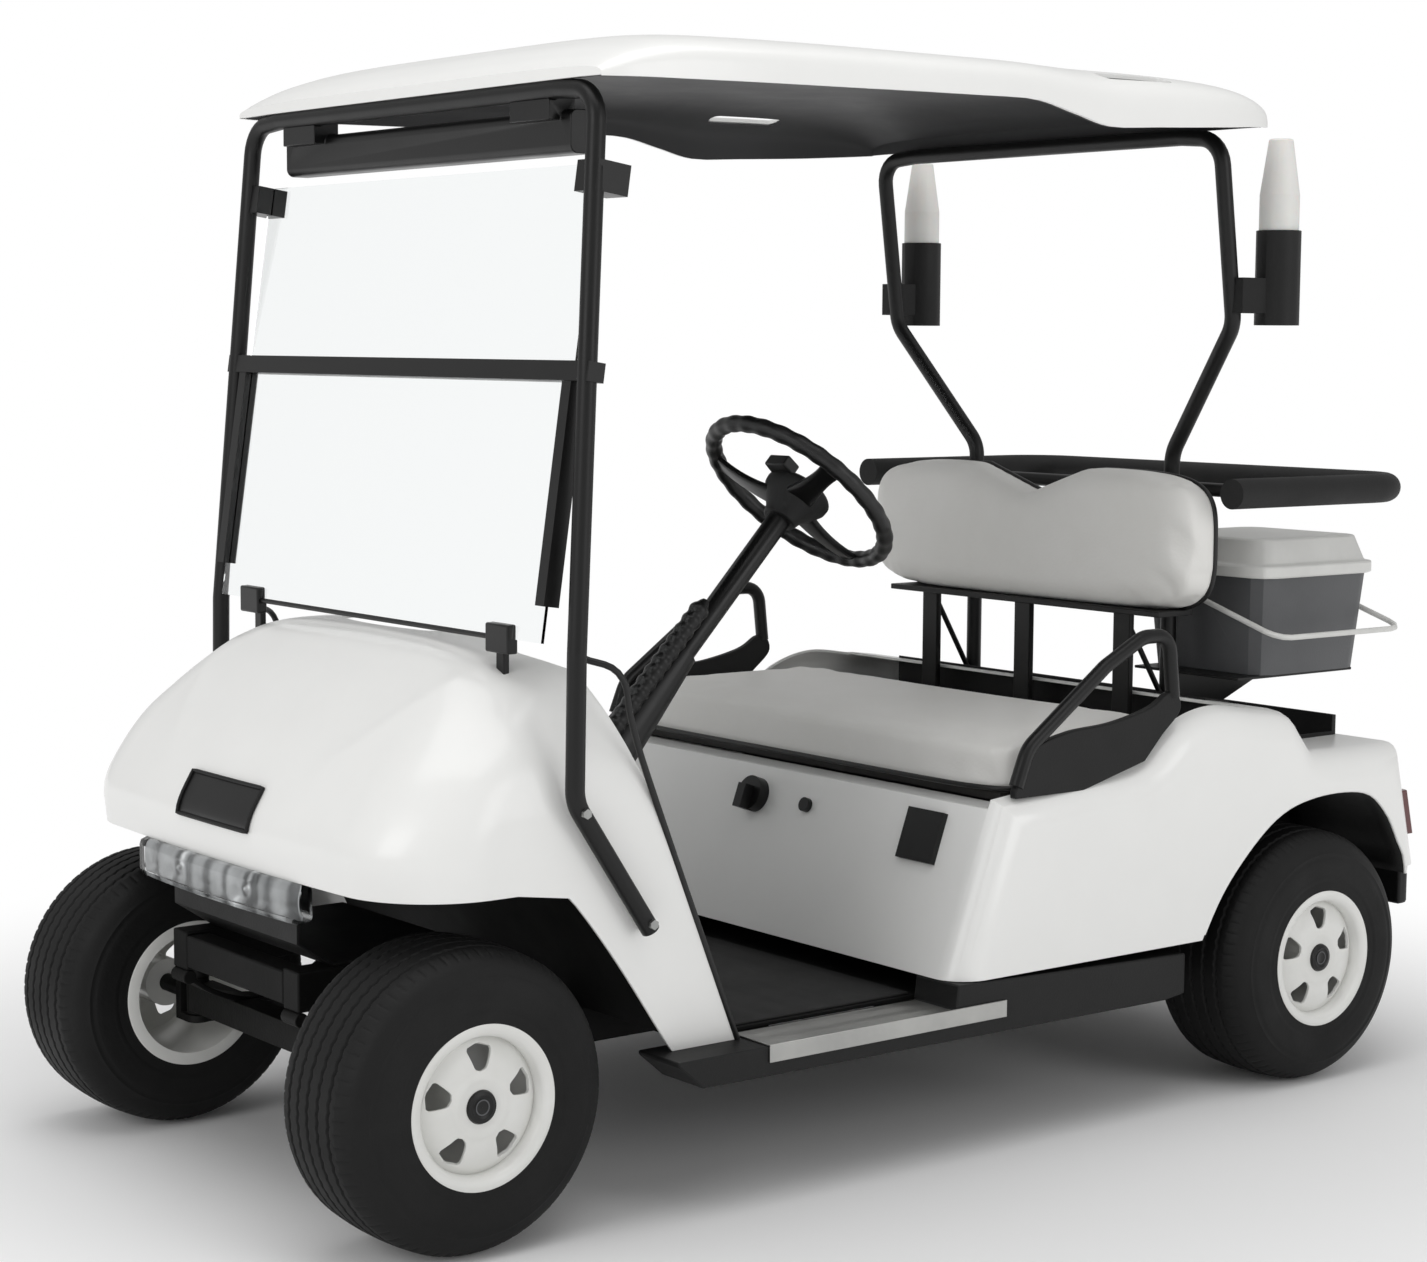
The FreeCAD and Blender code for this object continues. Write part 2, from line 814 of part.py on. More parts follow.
def leaf_spring(x, y, low_z, front_reach, rear_reach):
    """One arched leaf from eye to eye, with its eyes rolled."""
    up = D.kick_up_z - D.fit_gap - D.spring_eye_radius - D.leaf_thickness / 2
    line = Part.Arc(Vector(x - rear_reach, y, up), Vector(x, y, low_z),
                    Vector(x + front_reach, y, up)).toShape()
    low_face = line.extrude(Vector(0, 0, D.leaf_thickness))
    leaf = low_face.extrude(Vector(0, D.leaf_width, 0))
    leaf.translate(Vector(0, -D.leaf_width / 2, 0))
    eyes = []
    for at in (x - rear_reach, x + front_reach):
        centre = (at, y - D.leaf_width / 2, up + D.leaf_thickness / 2)
        end = (at, y + D.leaf_width / 2, up + D.leaf_thickness / 2)
        eyes.append(rod(centre, end, D.spring_eye_radius))
    return [leaf] + eyes


def make_front_suspension():
    """The axle beam with its eyes, two leaf springs and the steering rack behind them."""
    half = D.beam_size / 2
    beam = block((front_axle_x - half, front_axle_x + half),
                 (-(D.kingpin_y - D.eye_radius / 2), D.kingpin_y - D.eye_radius / 2),
                 (axle_z - half, axle_z + half))
    eyes, holes = [], []
    for side in SIDES.values():
        base = Vector(front_axle_x, side * D.kingpin_y, axle_z - D.eye_half_height)
        eyes.append(Part.makeCylinder(D.eye_radius, D.eye_half_height * 2, base))
        holes.append(Part.makeCylinder(D.kingpin_radius + D.shaft_gap, D.eye_half_height * 2, base))
    springs = []
    spring_y = D.rail_outer_y - D.rail_width / 2
    for side in SIDES.values():
        springs += leaf_spring(front_axle_x, side * spring_y, axle_z + half - D.leaf_thickness / 2,
                               D.front_leaf_reach, D.spring_kick_reach)
    shape = joined([beam] + eyes + springs)
    for hole in holes:
        shape = shape.cut(hole)
    solid("front_suspension", shape)


DRUM_SIDES = 20


def make_rear_axle():
    """The axle tubes with their brake plates, the gear case and the motor ahead of it."""
    end = D.rear_track_half + D.disc_offset - D.disc_thickness - D.hub_length
    tube = taper((D.rear_axle_x, -end + D.shaft_gap, axle_z), (D.rear_axle_x, end - D.shaft_gap, axle_z),
                 D.axle_tube_radius, D.axle_tube_radius, DRUM_SIDES)
    spindle = rod((D.rear_axle_x, -end - D.spindle_depth * 0.9, axle_z),
                  (D.rear_axle_x, end + D.spindle_depth * 0.9, axle_z), D.spindle_radius)
    case = taper((D.rear_axle_x, -D.diff_half_width, axle_z), (D.rear_axle_x, D.diff_half_width, axle_z),
                 D.diff_radius, D.diff_radius, DRUM_SIDES)
    motor_x = D.rear_axle_x + D.motor_ahead
    motor = taper((motor_x, -D.motor_length / 2, axle_z + D.drum_width / 2),
                  (motor_x, D.motor_length / 2, axle_z + D.drum_width / 2),
                  D.motor_radius, D.motor_radius, DRUM_SIDES)
    neck = block((D.rear_axle_x, motor_x), (-D.diff_half_width, D.diff_half_width),
                 (axle_z - D.axle_tube_radius, axle_z + D.diff_half_width))
    plates = []
    for side in SIDES.values():
        plate_in = side * (end - D.shaft_gap - D.panel_wall * 2)
        plate_out = side * (end - D.shaft_gap)
        plates.append(taper((D.rear_axle_x, plate_in, axle_z), (D.rear_axle_x, plate_out, axle_z),
                            D.drum_radius, D.drum_radius, DRUM_SIDES))
    solid("rear_axle", joined([tube, spindle, case, neck, motor] + plates))


def make_rear_suspension():
    """Two leaf springs over the axle tube, on their saddles."""
    spring_y = D.rail_outer_y - D.rail_width / 2
    saddle_top = axle_z + D.axle_tube_radius + D.leaf_thickness
    sides = []
    for side in SIDES.values():
        y = side * spring_y
        leaves = leaf_spring(D.rear_axle_x, y, saddle_top, D.spring_kick_reach, D.rear_leaf_reach)
        saddle = block((D.rear_axle_x - D.leaf_width, D.rear_axle_x + D.leaf_width),
                       (y - D.leaf_width / 2, y + D.leaf_width / 2),
                       (axle_z, saddle_top + D.leaf_thickness / 2))
        hole_radius = D.axle_tube_radius + D.fit_gap * 2
        tube = taper((D.rear_axle_x, y - D.leaf_width, axle_z), (D.rear_axle_x, y + D.leaf_width, axle_z),
                     hole_radius, hole_radius, DRUM_SIDES)
        sides.append(joined(leaves + [saddle.cut(tube)]))
    solid("rear_suspension", Part.makeCompound(sides))


# Chassis, floor and rockers


def toward(start, end, step):
    """The point that lies a step from start on the line to end."""
    share = step / math.dist(start, end)
    return tuple(a + (b - a) * share for a, b in zip(start, end))


def make_chassis():
    """Two rails of straight box sections, kicked up over the axles, with crossmembers and outriggers."""
    low, high = D.rail_low_z, D.kick_up_z
    up, gap, wall = D.rail_height, D.fit_gap, D.panel_wall
    front, rear = D.front_kick_x, D.rear_kick_x
    under = [(D.frame_front_x, high), (front + D.front_kick_run, high), (front, low), (rear, low),
             (rear - D.rear_kick_run, high), (D.frame_rear_x, high)]
    over = [(D.frame_front_x, high + up), (front + D.front_kick_run - up / 3, high + up),
            (front - up / 3, low + up), (rear - up / 3, low + up),
            (rear - D.rear_kick_run - up / 3, high + up), (D.frame_rear_x, high + up)]
    inner = D.rail_outer_y - D.rail_width
    pieces = []
    for low_y, high_y in ((inner, D.rail_outer_y), (-D.rail_outer_y, -inner)):
        for b0, b1, t0, t1 in zip(under, under[1:], over, over[1:]):
            section = [b0, toward(b1, b0, gap), toward(t1, t0, gap), t0]
            pieces.append(prism(section, low_y, high_y))
    cross = D.crossmember
    for x, z in ((D.frame_front_x - cross, high), (front + D.front_kick_run + cross, high),
                 (D.rear_axle_x - D.diff_radius - cross * 1.5, high), (D.frame_rear_x + cross / 2, high),
                 (front - cross * 3, low), (D.rear_kick_x + cross, low),
                 (D.floor_rear_x - cross, low)):
        pieces.append(block((x, x + cross), (gap - inner, inner - gap), (z + wall, z + up - wall)))
    for x in (D.toe_foot_x - cross * 4, D.floor_rear_x + cross, D.rear_kick_x + cross):
        for side in SIDES.values():
            pieces.append(block((x, x + cross), (side * (D.rail_outer_y + gap), side * D.floor_half_width),
                                (low + wall * 3, low + up)))
    solid("chassis_frame", Part.makeCompound(pieces))


def make_floor():
    """The floor sheet and the ribbed mat on it, both turned up along the toe board."""
    sheet_low = D.floor_z - D.floor_thickness
    run = D.toe_top_x - D.toe_foot_x
    rise = D.toe_top_z - D.floor_z
    slope = math.hypot(run, rise)
    across = D.floor_thickness * (slope / rise)
    foot_shift = across - D.floor_thickness * (run / rise)
    floor = Piece("floor_pan")
    floor.add("XZ", [[
        (D.floor_rear_x, sheet_low), (D.toe_foot_x + foot_shift, sheet_low),
        (D.toe_top_x + across, D.toe_top_z), (D.toe_top_x, D.toe_top_z),
        (D.toe_foot_x, D.floor_z), (D.floor_rear_x, D.floor_z)]],
        -D.floor_half_width, D.floor_half_width)
    mat_top = D.floor_z + D.mat_thickness
    lift = D.mat_thickness * (slope / rise)
    foot_back = lift - D.mat_thickness * (run / rise)
    top_x = D.toe_top_x - D.mat_margin * (run / rise)
    top_z = D.toe_top_z - D.mat_margin
    mat = Piece("floor_mat")
    mat.add("XZ", [[
        (D.body_foot_x + D.mat_margin, D.floor_z), (D.toe_foot_x, D.floor_z), (top_x, top_z),
        (top_x - lift, top_z), (D.toe_foot_x - foot_back, mat_top),
        (D.body_foot_x + D.mat_margin, mat_top)]],
        -D.floor_half_width + D.mat_margin, D.floor_half_width - D.mat_margin)
    notch = rectangle(D.toe_foot_x, D.toe_top_x + D.overrun, D.mat_notch_z, D.toe_top_z)
    mat.cut("XZ", [notch], D.column_y - D.mat_notch_half, D.column_y + D.mat_notch_half)


def make_rockers():
    """A long moulding below each side, with its nose turned up ahead of the leg."""
    piece = Piece("rockers")
    top = D.floor_z - D.rocker_top_drop
    inner = D.floor_half_width + D.fit_gap
    outline = [
        (D.rocker_front_x - D.rocker_nose_run, D.rocker_low_z + D.rocker_top_drop),
        (D.rocker_front_x, top - D.rocker_top_drop), (D.rocker_front_x, top),
        (D.body_foot_x + D.panel_wall, top), (D.body_foot_x, D.body_sill_front_z - D.fit_gap),
        (D.rocker_rear_x, D.body_sill_rear_z - D.fit_gap),
        (D.rocker_rear_x, D.rocker_low_z + D.rocker_top_drop),
        (D.rocker_rear_x + D.rocker_nose_run, D.rocker_low_z)]
    for side in SIDES.values():
        near, far = sorted((side * inner, side * D.rocker_outer_y))
        piece.add("XZ", [outline], near, far)
    scuff = Piece("scuff_plates")
    outer = D.rocker_outer_y
    for side in SIDES.values():
        near, far = sorted((side * D.scuff_inner_y, side * (outer + D.fit_gap * 2)))
        scuff.add("XZ", [rectangle(D.body_foot_x + D.mat_margin * 2, D.scuff_front_x,
                                   top + D.fit_gap, top + D.fit_gap + D.scuff_thickness)], near, far)
        near, far = sorted((side * (outer + D.fit_gap), side * (outer + D.fit_gap + D.scuff_thickness)))
        scuff.add("XZ", [rectangle(D.scuff_rear_x, D.scuff_front_x,
                                   top - D.scuff_skirt, top + D.fit_gap + D.scuff_thickness)], near, far)


make_wheels()
for word, side in SIDES.items():
    make_knuckle(word, side)
make_tie_rod()
make_front_suspension()
make_rear_axle()
make_rear_suspension()
make_chassis()
make_floor()
make_rockers()


# Front cowl and what sits in it

# Height, forward reach and half width of the nose at each level, as shares of the full size
COWL_LEVEL_SHARES = [
    (0.0, 0.994, 1.000), (0.18, 1.000, 0.998), (0.335, 0.962, 0.990), (0.503, 0.901, 0.962),
    (0.630, 0.836, 0.915), (0.754, 0.767, 0.850), (0.868, 0.697, 0.760), (0.952, 0.638, 0.600),
    (1.0, 0.560, 0.300)]
cowl_foot_z = D.floor_z - D.rocker_top_drop + D.fit_gap
dash_low_z = D.toe_top_z + D.fit_gap


COWL_CORNER_STEPS = 5
COWL_BOW_STEPS = 4


def cowl_outline(reach, half, z, inset):
    """One level of the nose: a bowed front between two rounded corners and straight sides."""
    back = D.cowl_rear_x
    front, wide = reach - inset, half - inset
    corner = (D.cowl_corner - inset) * (half / D.cowl_half_width)
    front_y = wide - corner
    left = []
    for i in range(COWL_CORNER_STEPS):
        angle = math.pi / 2 * i / COWL_CORNER_STEPS
        left.append((front - D.cowl_bow - corner * (1 - math.sin(angle)), front_y + corner * math.cos(angle)))
    for i in range(COWL_BOW_STEPS):
        share = 1 - i / COWL_BOW_STEPS
        left.append((front - D.cowl_bow * share * share, front_y * share))
    right = [(x, -y) for x, y in left[::-1]]
    points = [Vector(back, wide, z)] + [Vector(x, y, z) for x, y in left + [(front, 0)] + right]
    return points + [Vector(back, -wide, z)]


def cowl_form(inset):
    """The outer form of the nose and legs, moved inwards by the inset."""
    run = D.cowl_front_x - D.cowl_rear_x
    rise = D.cowl_top_z - D.cowl_lip_z
    lip = cowl_outline(D.cowl_front_x, D.cowl_half_width, cowl_foot_z - D.overrun, inset)
    levels = [lip]
    for up, ahead, wide in COWL_LEVEL_SHARES:
        z = D.cowl_lip_z + rise * up - inset * up
        levels.append(cowl_outline(D.cowl_rear_x + run * ahead, D.cowl_half_width * wide, z, inset))
    return faceted(levels)


def leg_rear_points():
    return [(D.leg_rear_foot_x, cowl_foot_z), (D.leg_rear_mid_x, D.leg_rear_mid_z),
            (D.leg_rear_top_x, D.leg_rear_top_z)]


def make_cowl():
    """A thin moulding with an open back, its wheel openings and two slanted legs."""
    shell = cowl_form(0).cut(cowl_form(D.panel_wall))
    wide = D.cowl_half_width + D.overrun
    low = cowl_foot_z - D.overrun * 2
    ahead = D.cowl_front_x + D.overrun
    opening = prism([
        (ahead, D.cowl_lip_z), (D.arch_corner_x + D.arch_round * 2, D.cowl_lip_z),
        (D.arch_corner_x, D.arch_corner_z),
        (D.arch_mid_x, D.arch_mid_z), (D.leg_front_foot_x, cowl_foot_z),
        (D.leg_front_foot_x, low), (ahead, low)], -wide, wide)
    top = D.cowl_top_z + D.overrun
    foot, middle, upper = leg_rear_points()
    behind = prism([
        (foot[0], low), foot, middle, upper, (D.hood_edge_x, D.cowl_top_z),
        (D.hood_edge_x + D.overrun / 4, top), (D.cowl_rear_x - D.overrun, top),
        (D.cowl_rear_x - D.overrun, low)], -wide, wide)
    under = block((D.cowl_rear_x - D.overrun, ahead), (-wide, wide), (low, cowl_foot_z))
    solid("front_cowl", shell.cut(opening).cut(behind).cut(under))


def dash_x(z):
    """Where the dash panel's face lies at a height, recessed behind the legs' edges."""
    foot, middle, upper = leg_rear_points()
    slope = (upper[0] - foot[0]) / (upper[1] - foot[1])
    return upper[0] + D.dash_recess - slope * (upper[1] - z)


def column_axis():
    foot = Vector(D.column_foot_x, D.column_y, D.column_foot_z)
    top = Vector(D.column_top_x, D.column_y, D.column_top_z)
    return foot, top, (top - foot).normalize()


def make_dash():
    """A panel across the cowl's open back, with two glove pockets and a shelf below the windshield."""
    wall = D.panel_wall
    top_z = D.leg_rear_top_z
    low_x, top_x = dash_x(dash_low_z), dash_x(top_z)
    shelf_z = D.cowl_top_z
    toe_x = D.toe_top_x + D.floor_thickness
    outline = [
        (low_x, dash_low_z), (top_x, top_z), (D.dash_shelf_x, shelf_z),
        (D.dash_shelf_x, shelf_z - wall * 1.2), (top_x + wall * 1.2, top_z - wall * 1.4),
        (low_x + wall * 1.2, dash_low_z + wall), (toe_x, dash_low_z + wall), (toe_x, dash_low_z)]
    wide = D.cowl_half_width
    panel = prism(outline, -wide, wide)
    cups, hollows = [], []
    low, high = D.pocket_low_z, D.pocket_low_z + D.pocket_height
    rear_x = low_x - D.overrun
    for side in SIDES.values():
        y_range = (side * D.pocket_y - D.pocket_half_width, side * D.pocket_y + D.pocket_half_width)
        cup_range = (y_range[0] - wall, y_range[1] + wall)
        cups.append(block((low_x, top_x + D.pocket_depth), cup_range, (low - wall, high + wall)))
        hollows.append(block((rear_x, top_x + D.pocket_depth - wall), y_range, (low, high)))
    behind = prism([
        (dash_x(dash_low_z - D.overrun), dash_low_z - D.overrun), (top_x, top_z),
        (top_x, top_z + D.overrun), (rear_x - D.overrun * 4, top_z + D.overrun),
        (rear_x - D.overrun * 4, dash_low_z - D.overrun)], -wide, wide)
    shape = joined([panel] + [cup.cut(behind) for cup in cups])
    for hollow in hollows:
        shape = shape.cut(hollow)
    foot, top, line = column_axis()
    passage = rod(foot - line * float(D.column_run), top, D.column_radius + D.column_clearance)
    solid("dash_panel", shape.cut(passage).common(cowl_form(wall + D.fit_gap)))


def make_lamps():
    """The lamp strip below the lip, curved in plan, and the valance that carries it."""
    front = D.cowl_front_x + D.lamp_ahead
    top = D.cowl_lip_z - D.fit_gap
    low = top - D.lamp_height
    half, back = D.lamp_half_width, front - D.lamp_depth
    end_x = front - D.lamp_bow
    ahead = Part.Arc(Vector(end_x, -half, low), Vector(front, 0, low), Vector(end_x, half, low))
    sides = [Part.LineSegment(Vector(end_x, half, low), Vector(back, half, low)),
             Part.LineSegment(Vector(back, half, low), Vector(back, -half, low)),
             Part.LineSegment(Vector(back, -half, low), Vector(end_x, -half, low))]
    wire = Part.Wire([edge.toShape() for edge in [ahead] + sides])
    solid("headlight_bar", Part.Face(wire).extrude(Vector(0, 0, top - low)))
    rear = back - D.fit_gap
    seat_z = D.kick_up_z + D.rail_height + D.fit_gap
    fold_z = D.valance_low_z + D.lamp_height / 2
    upright = block((rear - D.panel_wall, rear), (-D.valance_half_width, D.valance_half_width), (fold_z, top))
    apron = prism([
        (rear - D.panel_wall, fold_z), (rear, fold_z), (rear - D.valance_setback, seat_z),
        (rear - D.valance_setback - D.panel_wall, seat_z)], -D.valance_half_width, D.valance_half_width)
    tray = block((D.toe_top_x + D.crossmember, rear - D.valance_setback),
                 (-D.valance_half_width, D.valance_half_width), (seat_z, seat_z + D.panel_wall))
    solid("front_valance", joined([upright, apron, tray]))


# Rear body, bag well, bumper and lamps

# The body's top line from front to rear, as shares of its length and of its rise
BODY_TOP_SHARES = [
    (0.0, 0.0), (0.166, 0.14), (0.319, 0.27), (0.411, 0.80), (0.503, 1.0), (0.609, 0.90), (0.697, 0.77),
    (0.738, 0.43), (0.771, 0.16), (0.851, 0.09), (1.0, 0.09)]
# The rear arch's edge about the axle, as shares of the tyre's radius
ARCH_SHARES = [
    (1.28, 0.10), (1.237, 0.279), (0.945, 0.708), (0.447, 1.123), (-0.046, 1.265), (-0.621, 1.247),
    (-0.904, 1.059), (-1.073, 0.799), (-1.169, 0.603), (-1.20, 0.10)]


body_deep_z = D.body_sill_rear_z - D.body_round * 2
arch_deep_z = body_deep_z - D.overrun


def inset_points(points, inset):
    """Moves the sides of an outline, which runs with its inside on the left, inwards."""
    moved = []
    total = len(points)
    for i, point in enumerate(points):
        before, after = points[i - 1], points[(i + 1) % total]
        first = Vector(point[0] - before[0], point[1] - before[1], 0).normalize()
        second = Vector(after[0] - point[0], after[1] - point[1], 0).normalize()
        inward = Vector(-first.y - second.y, first.x + second.x, 0)
        reach = inset * 2 / inward.dot(inward)
        moved.append((point[0] + inward.x * reach, point[1] + inward.y * reach))
    return moved


def rear_side_outline():
    """The body's side outline from the foot of its front panel, over the top, round the tail."""
    run = D.body_rear_top_x - D.body_front_top_x
    rise = D.fender_top_z - D.body_shoulder_z
    top = [(D.body_front_top_x + run * along, D.body_shoulder_z + rise * up)
           for along, up in BODY_TOP_SHARES]
    return [(D.body_foot_x, D.body_sill_front_z), ] + top + [
        (D.body_rear_x, D.body_rear_foot_z), (D.body_rear_x, body_deep_z), (D.body_foot_x, body_deep_z)]


ROUND_STEPS = 3


def side_corners(points, y):
    """The corners of an outline in a plane square to Y."""
    return [Vector(x, y, z) for x, z in points]


def rear_form(inset):
    """The rear body's block, rounded towards both sides in flat facets, moved inwards by the inset."""
    points = inset_points(rear_side_outline(), float(inset))
    half = D.body_half_width - inset
    radius = D.body_round - inset
    sections = []
    for step in range(ROUND_STEPS + 1):
        angle = math.pi / 2 * step / ROUND_STEPS
        outline = inset_points(points, float(radius) * (1 - math.sin(angle)))
        sections.append((outline, half - radius * (1 - math.cos(angle))))
    rings = [side_corners(outline, -y) for outline, y in sections]
    return faceted(rings + [side_corners(outline, y) for outline, y in sections[::-1]])


def moved_form(x, y, z):
    """The rear body's block, moved as a whole."""
    form = rear_form(0)
    form.translate(Vector(x, y, z))
    return form


def arch_prism(low_y, high_y, inset):
    """The space of a rear wheel arch, moved inwards by the inset."""
    points = [(D.rear_axle_x + D.tyre_radius * along, axle_z + D.tyre_radius * up)
              for along, up in ARCH_SHARES]
    points = [(points[0][0], arch_deep_z)] + points + [(points[-1][0], arch_deep_z)]
    points = inset_points(points, float(inset))
    return face_of(side_corners(points, low_y)).extrude(Vector(0, high_y - low_y, 0))


def make_rear_body():
    """A thin moulding with wheel arches, a lined seat opening and an opening for the bag well."""
    wall = D.panel_wall
    outer = rear_form(0)
    shell = outer.cut(rear_form(wall))
    high = D.fender_top_z + D.overrun
    deep = arch_deep_z
    seat_x = (D.seat_well_rear_x, D.seat_well_front_x)
    half = D.seat_well_half_width
    lid_half = D.seat_half_width + D.lid_space_gap
    liner = block((seat_x[0] - wall, seat_x[1] + wall), (-half - wall, half + wall),
                  (D.liner_low_z, D.seat_ledge_z))
    seat_hole = block(seat_x, (-half, half), (deep, high))
    ledge_x = (D.lid_space_rear_x - wall, D.body_foot_x + D.overrun)
    ledge = block(ledge_x, (-lid_half - wall, lid_half + wall), (D.seat_ledge_z - wall, high))
    lid_space = block((D.lid_space_rear_x, ledge_x[1]), (-lid_half, lid_half), (D.seat_ledge_z, high))
    well_hole = block((D.well_rear_x, D.well_front_x), (-D.well_half_width, D.well_half_width),
                      (D.well_floor_z - wall, high))
    shape = shell.fuse(liner).fuse(ledge.common(outer))
    wheel_houses, arches = [], []
    for side in SIDES.values():
        inside = side * (D.body_half_width - D.rear_arch_reach)
        low_y, high_y = sorted((inside, side * (D.body_half_width + D.overrun)))
        arches.append(arch_prism(low_y, high_y, 0))
        low_y, high_y = sorted((inside - side * wall, side * (D.body_half_width - wall)))
        wheel_houses.append(arch_prism(low_y, high_y, -wall).common(outer))
    under = block((D.body_rear_x - D.overrun, D.body_foot_x + D.overrun),
                  (-D.body_half_width, D.body_half_width), (deep, D.body_sill_front_z))
    tail = block((D.body_rear_x - D.overrun, D.rear_axle_x), (-D.body_half_width, D.body_half_width),
                 (deep, D.body_rear_foot_z))
    for piece in wheel_houses:
        shape = shape.fuse(piece)
    for space in [lid_space, seat_hole, well_hole, under, tail] + arches:
        shape = shape.cut(space)
    for side in SIDES.values():
        near = side * (D.rail_outer_y - D.rail_width - D.fit_gap * 2)
        far = side * (D.rail_outer_y + D.fit_gap * 2)
        shape = shape.cut(block((D.body_rear_x - D.overrun, D.rear_axle_x), (near, far),
                                (deep, D.kick_up_z + D.rail_height + D.fit_gap)))
    solid("rear_body", sorted(shape.Solids, key=lambda part: part.Volume)[-1])


strut_seat_z = D.well_floor_z + D.panel_wall - D.strip_depth


def make_bag_well():
    """An open tray in the body's well, its tail raised and a lower strip of floor below the struts."""
    gap, wall = D.fit_gap, D.panel_wall
    x_range = (D.well_rear_x + gap, D.well_front_x - gap)
    half = D.well_half_width - gap
    top = D.fender_top_z + D.overrun
    tray = block(x_range, (-half, half), (D.well_floor_z, top)).common(moved_form(0, 0, D.well_rim))
    tail = block((x_range[0], x_range[0] + wall * 2), (-half, half), (D.well_floor_z, D.well_tail_z))
    hollow = block((x_range[0] + wall, x_range[1] - wall), (-half + wall, half - wall),
                   (D.well_floor_z + wall, top))
    strip = block((D.rear_strut_x - D.strut_radius * 2, x_range[1] - wall), (-half + wall, half - wall),
                  (strut_seat_z, top))
    solid("bag_well", joined([tray, tail]).cut(hollow).cut(strip))


def make_bumper():
    """A rounded bar below the tail and a lamp that follows each rear corner."""
    front = D.body_rear_x - D.fit_gap
    rear = front - D.bumper_thickness
    half = D.bumper_half_width
    piece = Piece("rear_bumper")
    piece.add("XY", [rectangle(rear, front, -half, half)], D.bumper_low_z, D.bumper_high_z)
    piece.round(D.bumper_thickness * 0.6, edges_along(2, [(rear, half), (rear, -half)]))
    gap, out = D.fit_gap, D.fit_gap + D.taillight_depth
    lamps = []
    for side in SIDES.values():
        skin = moved_form(-out, side * out, 0).cut(moved_form(-gap, side * gap, 0))
        space = block((D.body_rear_x - D.overrun, D.body_rear_x + D.taillight_reach),
                      (side * D.taillight_inner_y, side * D.taillight_outer_y),
                      (D.taillight_low_z, D.taillight_high_z))
        lamps.append(skin.common(space))
    solid("taillights", Part.makeCompound(lamps))


def make_seat_controls():
    """Direction selector, key switch and charger flap on the panel below the seat."""
    lean = (D.body_front_top_x - D.body_foot_x) / (D.body_shoulder_z - D.body_sill_front_z)
    z = D.control_z
    x = D.body_foot_x + lean * (z - D.body_sill_front_z)
    leaning = FreeCAD.Rotation(Vector(0, 1, 0), math.degrees(math.atan(lean)))
    turn = FreeCAD.Placement(Vector(x, 0, z), leaning)
    gap, plate = D.fit_gap, D.control_plate
    selector = Part.makeCylinder(float(D.selector_radius), float(plate * 2),
                                 Vector(gap, D.selector_y, 0), Vector(1, 0, 0))
    lever = block((plate, plate * 4), (D.selector_y - plate, D.selector_y + plate),
                  (-D.selector_radius, D.selector_radius * 0.4))
    key = Part.makeCylinder(float(D.key_radius), float(plate), Vector(gap, D.key_y, 0), Vector(1, 0, 0))
    flap = block((gap, gap + plate), (D.flap_y - D.flap_half, D.flap_y + D.flap_half),
                 (-D.flap_half - plate, D.flap_half - plate))
    shapes = []
    for shape in (selector.fuse(lever), key, flap):
        shape.Placement = turn.multiply(shape.Placement)
        shapes.append(shape)
    solid("seat_controls", Part.makeCompound(shapes))


def make_battery():
    """The batteries as one block on the rails, below the seat."""
    piece = Piece("battery_block")
    low = D.rail_low_z + D.rail_height + D.fit_gap
    half = D.battery_half_width
    outline = rectangle(D.battery_rear_x, D.battery_front_x, -half, half)
    piece.add("XY", [outline], low, low + D.battery_height)


make_cowl()
make_dash()
make_lamps()
make_rear_body()
make_bag_well()
make_bumper()
make_seat_controls()
make_battery()


# Seat


def make_seat():
    """The hinged board with its cushion."""
    board_low = D.seat_ledge_z + D.fit_gap
    board_high = board_low + D.seat_board
    half = D.seat_half_width
    board = Piece("seat_board")
    board_half = half - D.seat_round
    board.add("XY", [rectangle(D.seat_rear_x + D.seat_round, D.seat_front_x - D.seat_round,
                               -board_half, board_half)], board_low, board_high)
    low = board_high + D.fit_gap
    high = low + D.seat_cushion_height
    cushion = Piece("seat_cushion")
    cushion.add("XY", [rectangle(D.seat_rear_x, D.seat_front_x, -half, half)], low, high)
    corners = [(D.seat_front_x, half), (D.seat_front_x, -half), (D.seat_rear_x, half), (D.seat_rear_x, -half)]
    cushion.round(D.seat_round * 1.5, edges_along(2, corners))

    def upper(edge):
        return all(is_near(vertex.Point.z, high) for vertex in edge.Vertexes)
    cushion.bevel(D.seat_round * 0.6, upper)


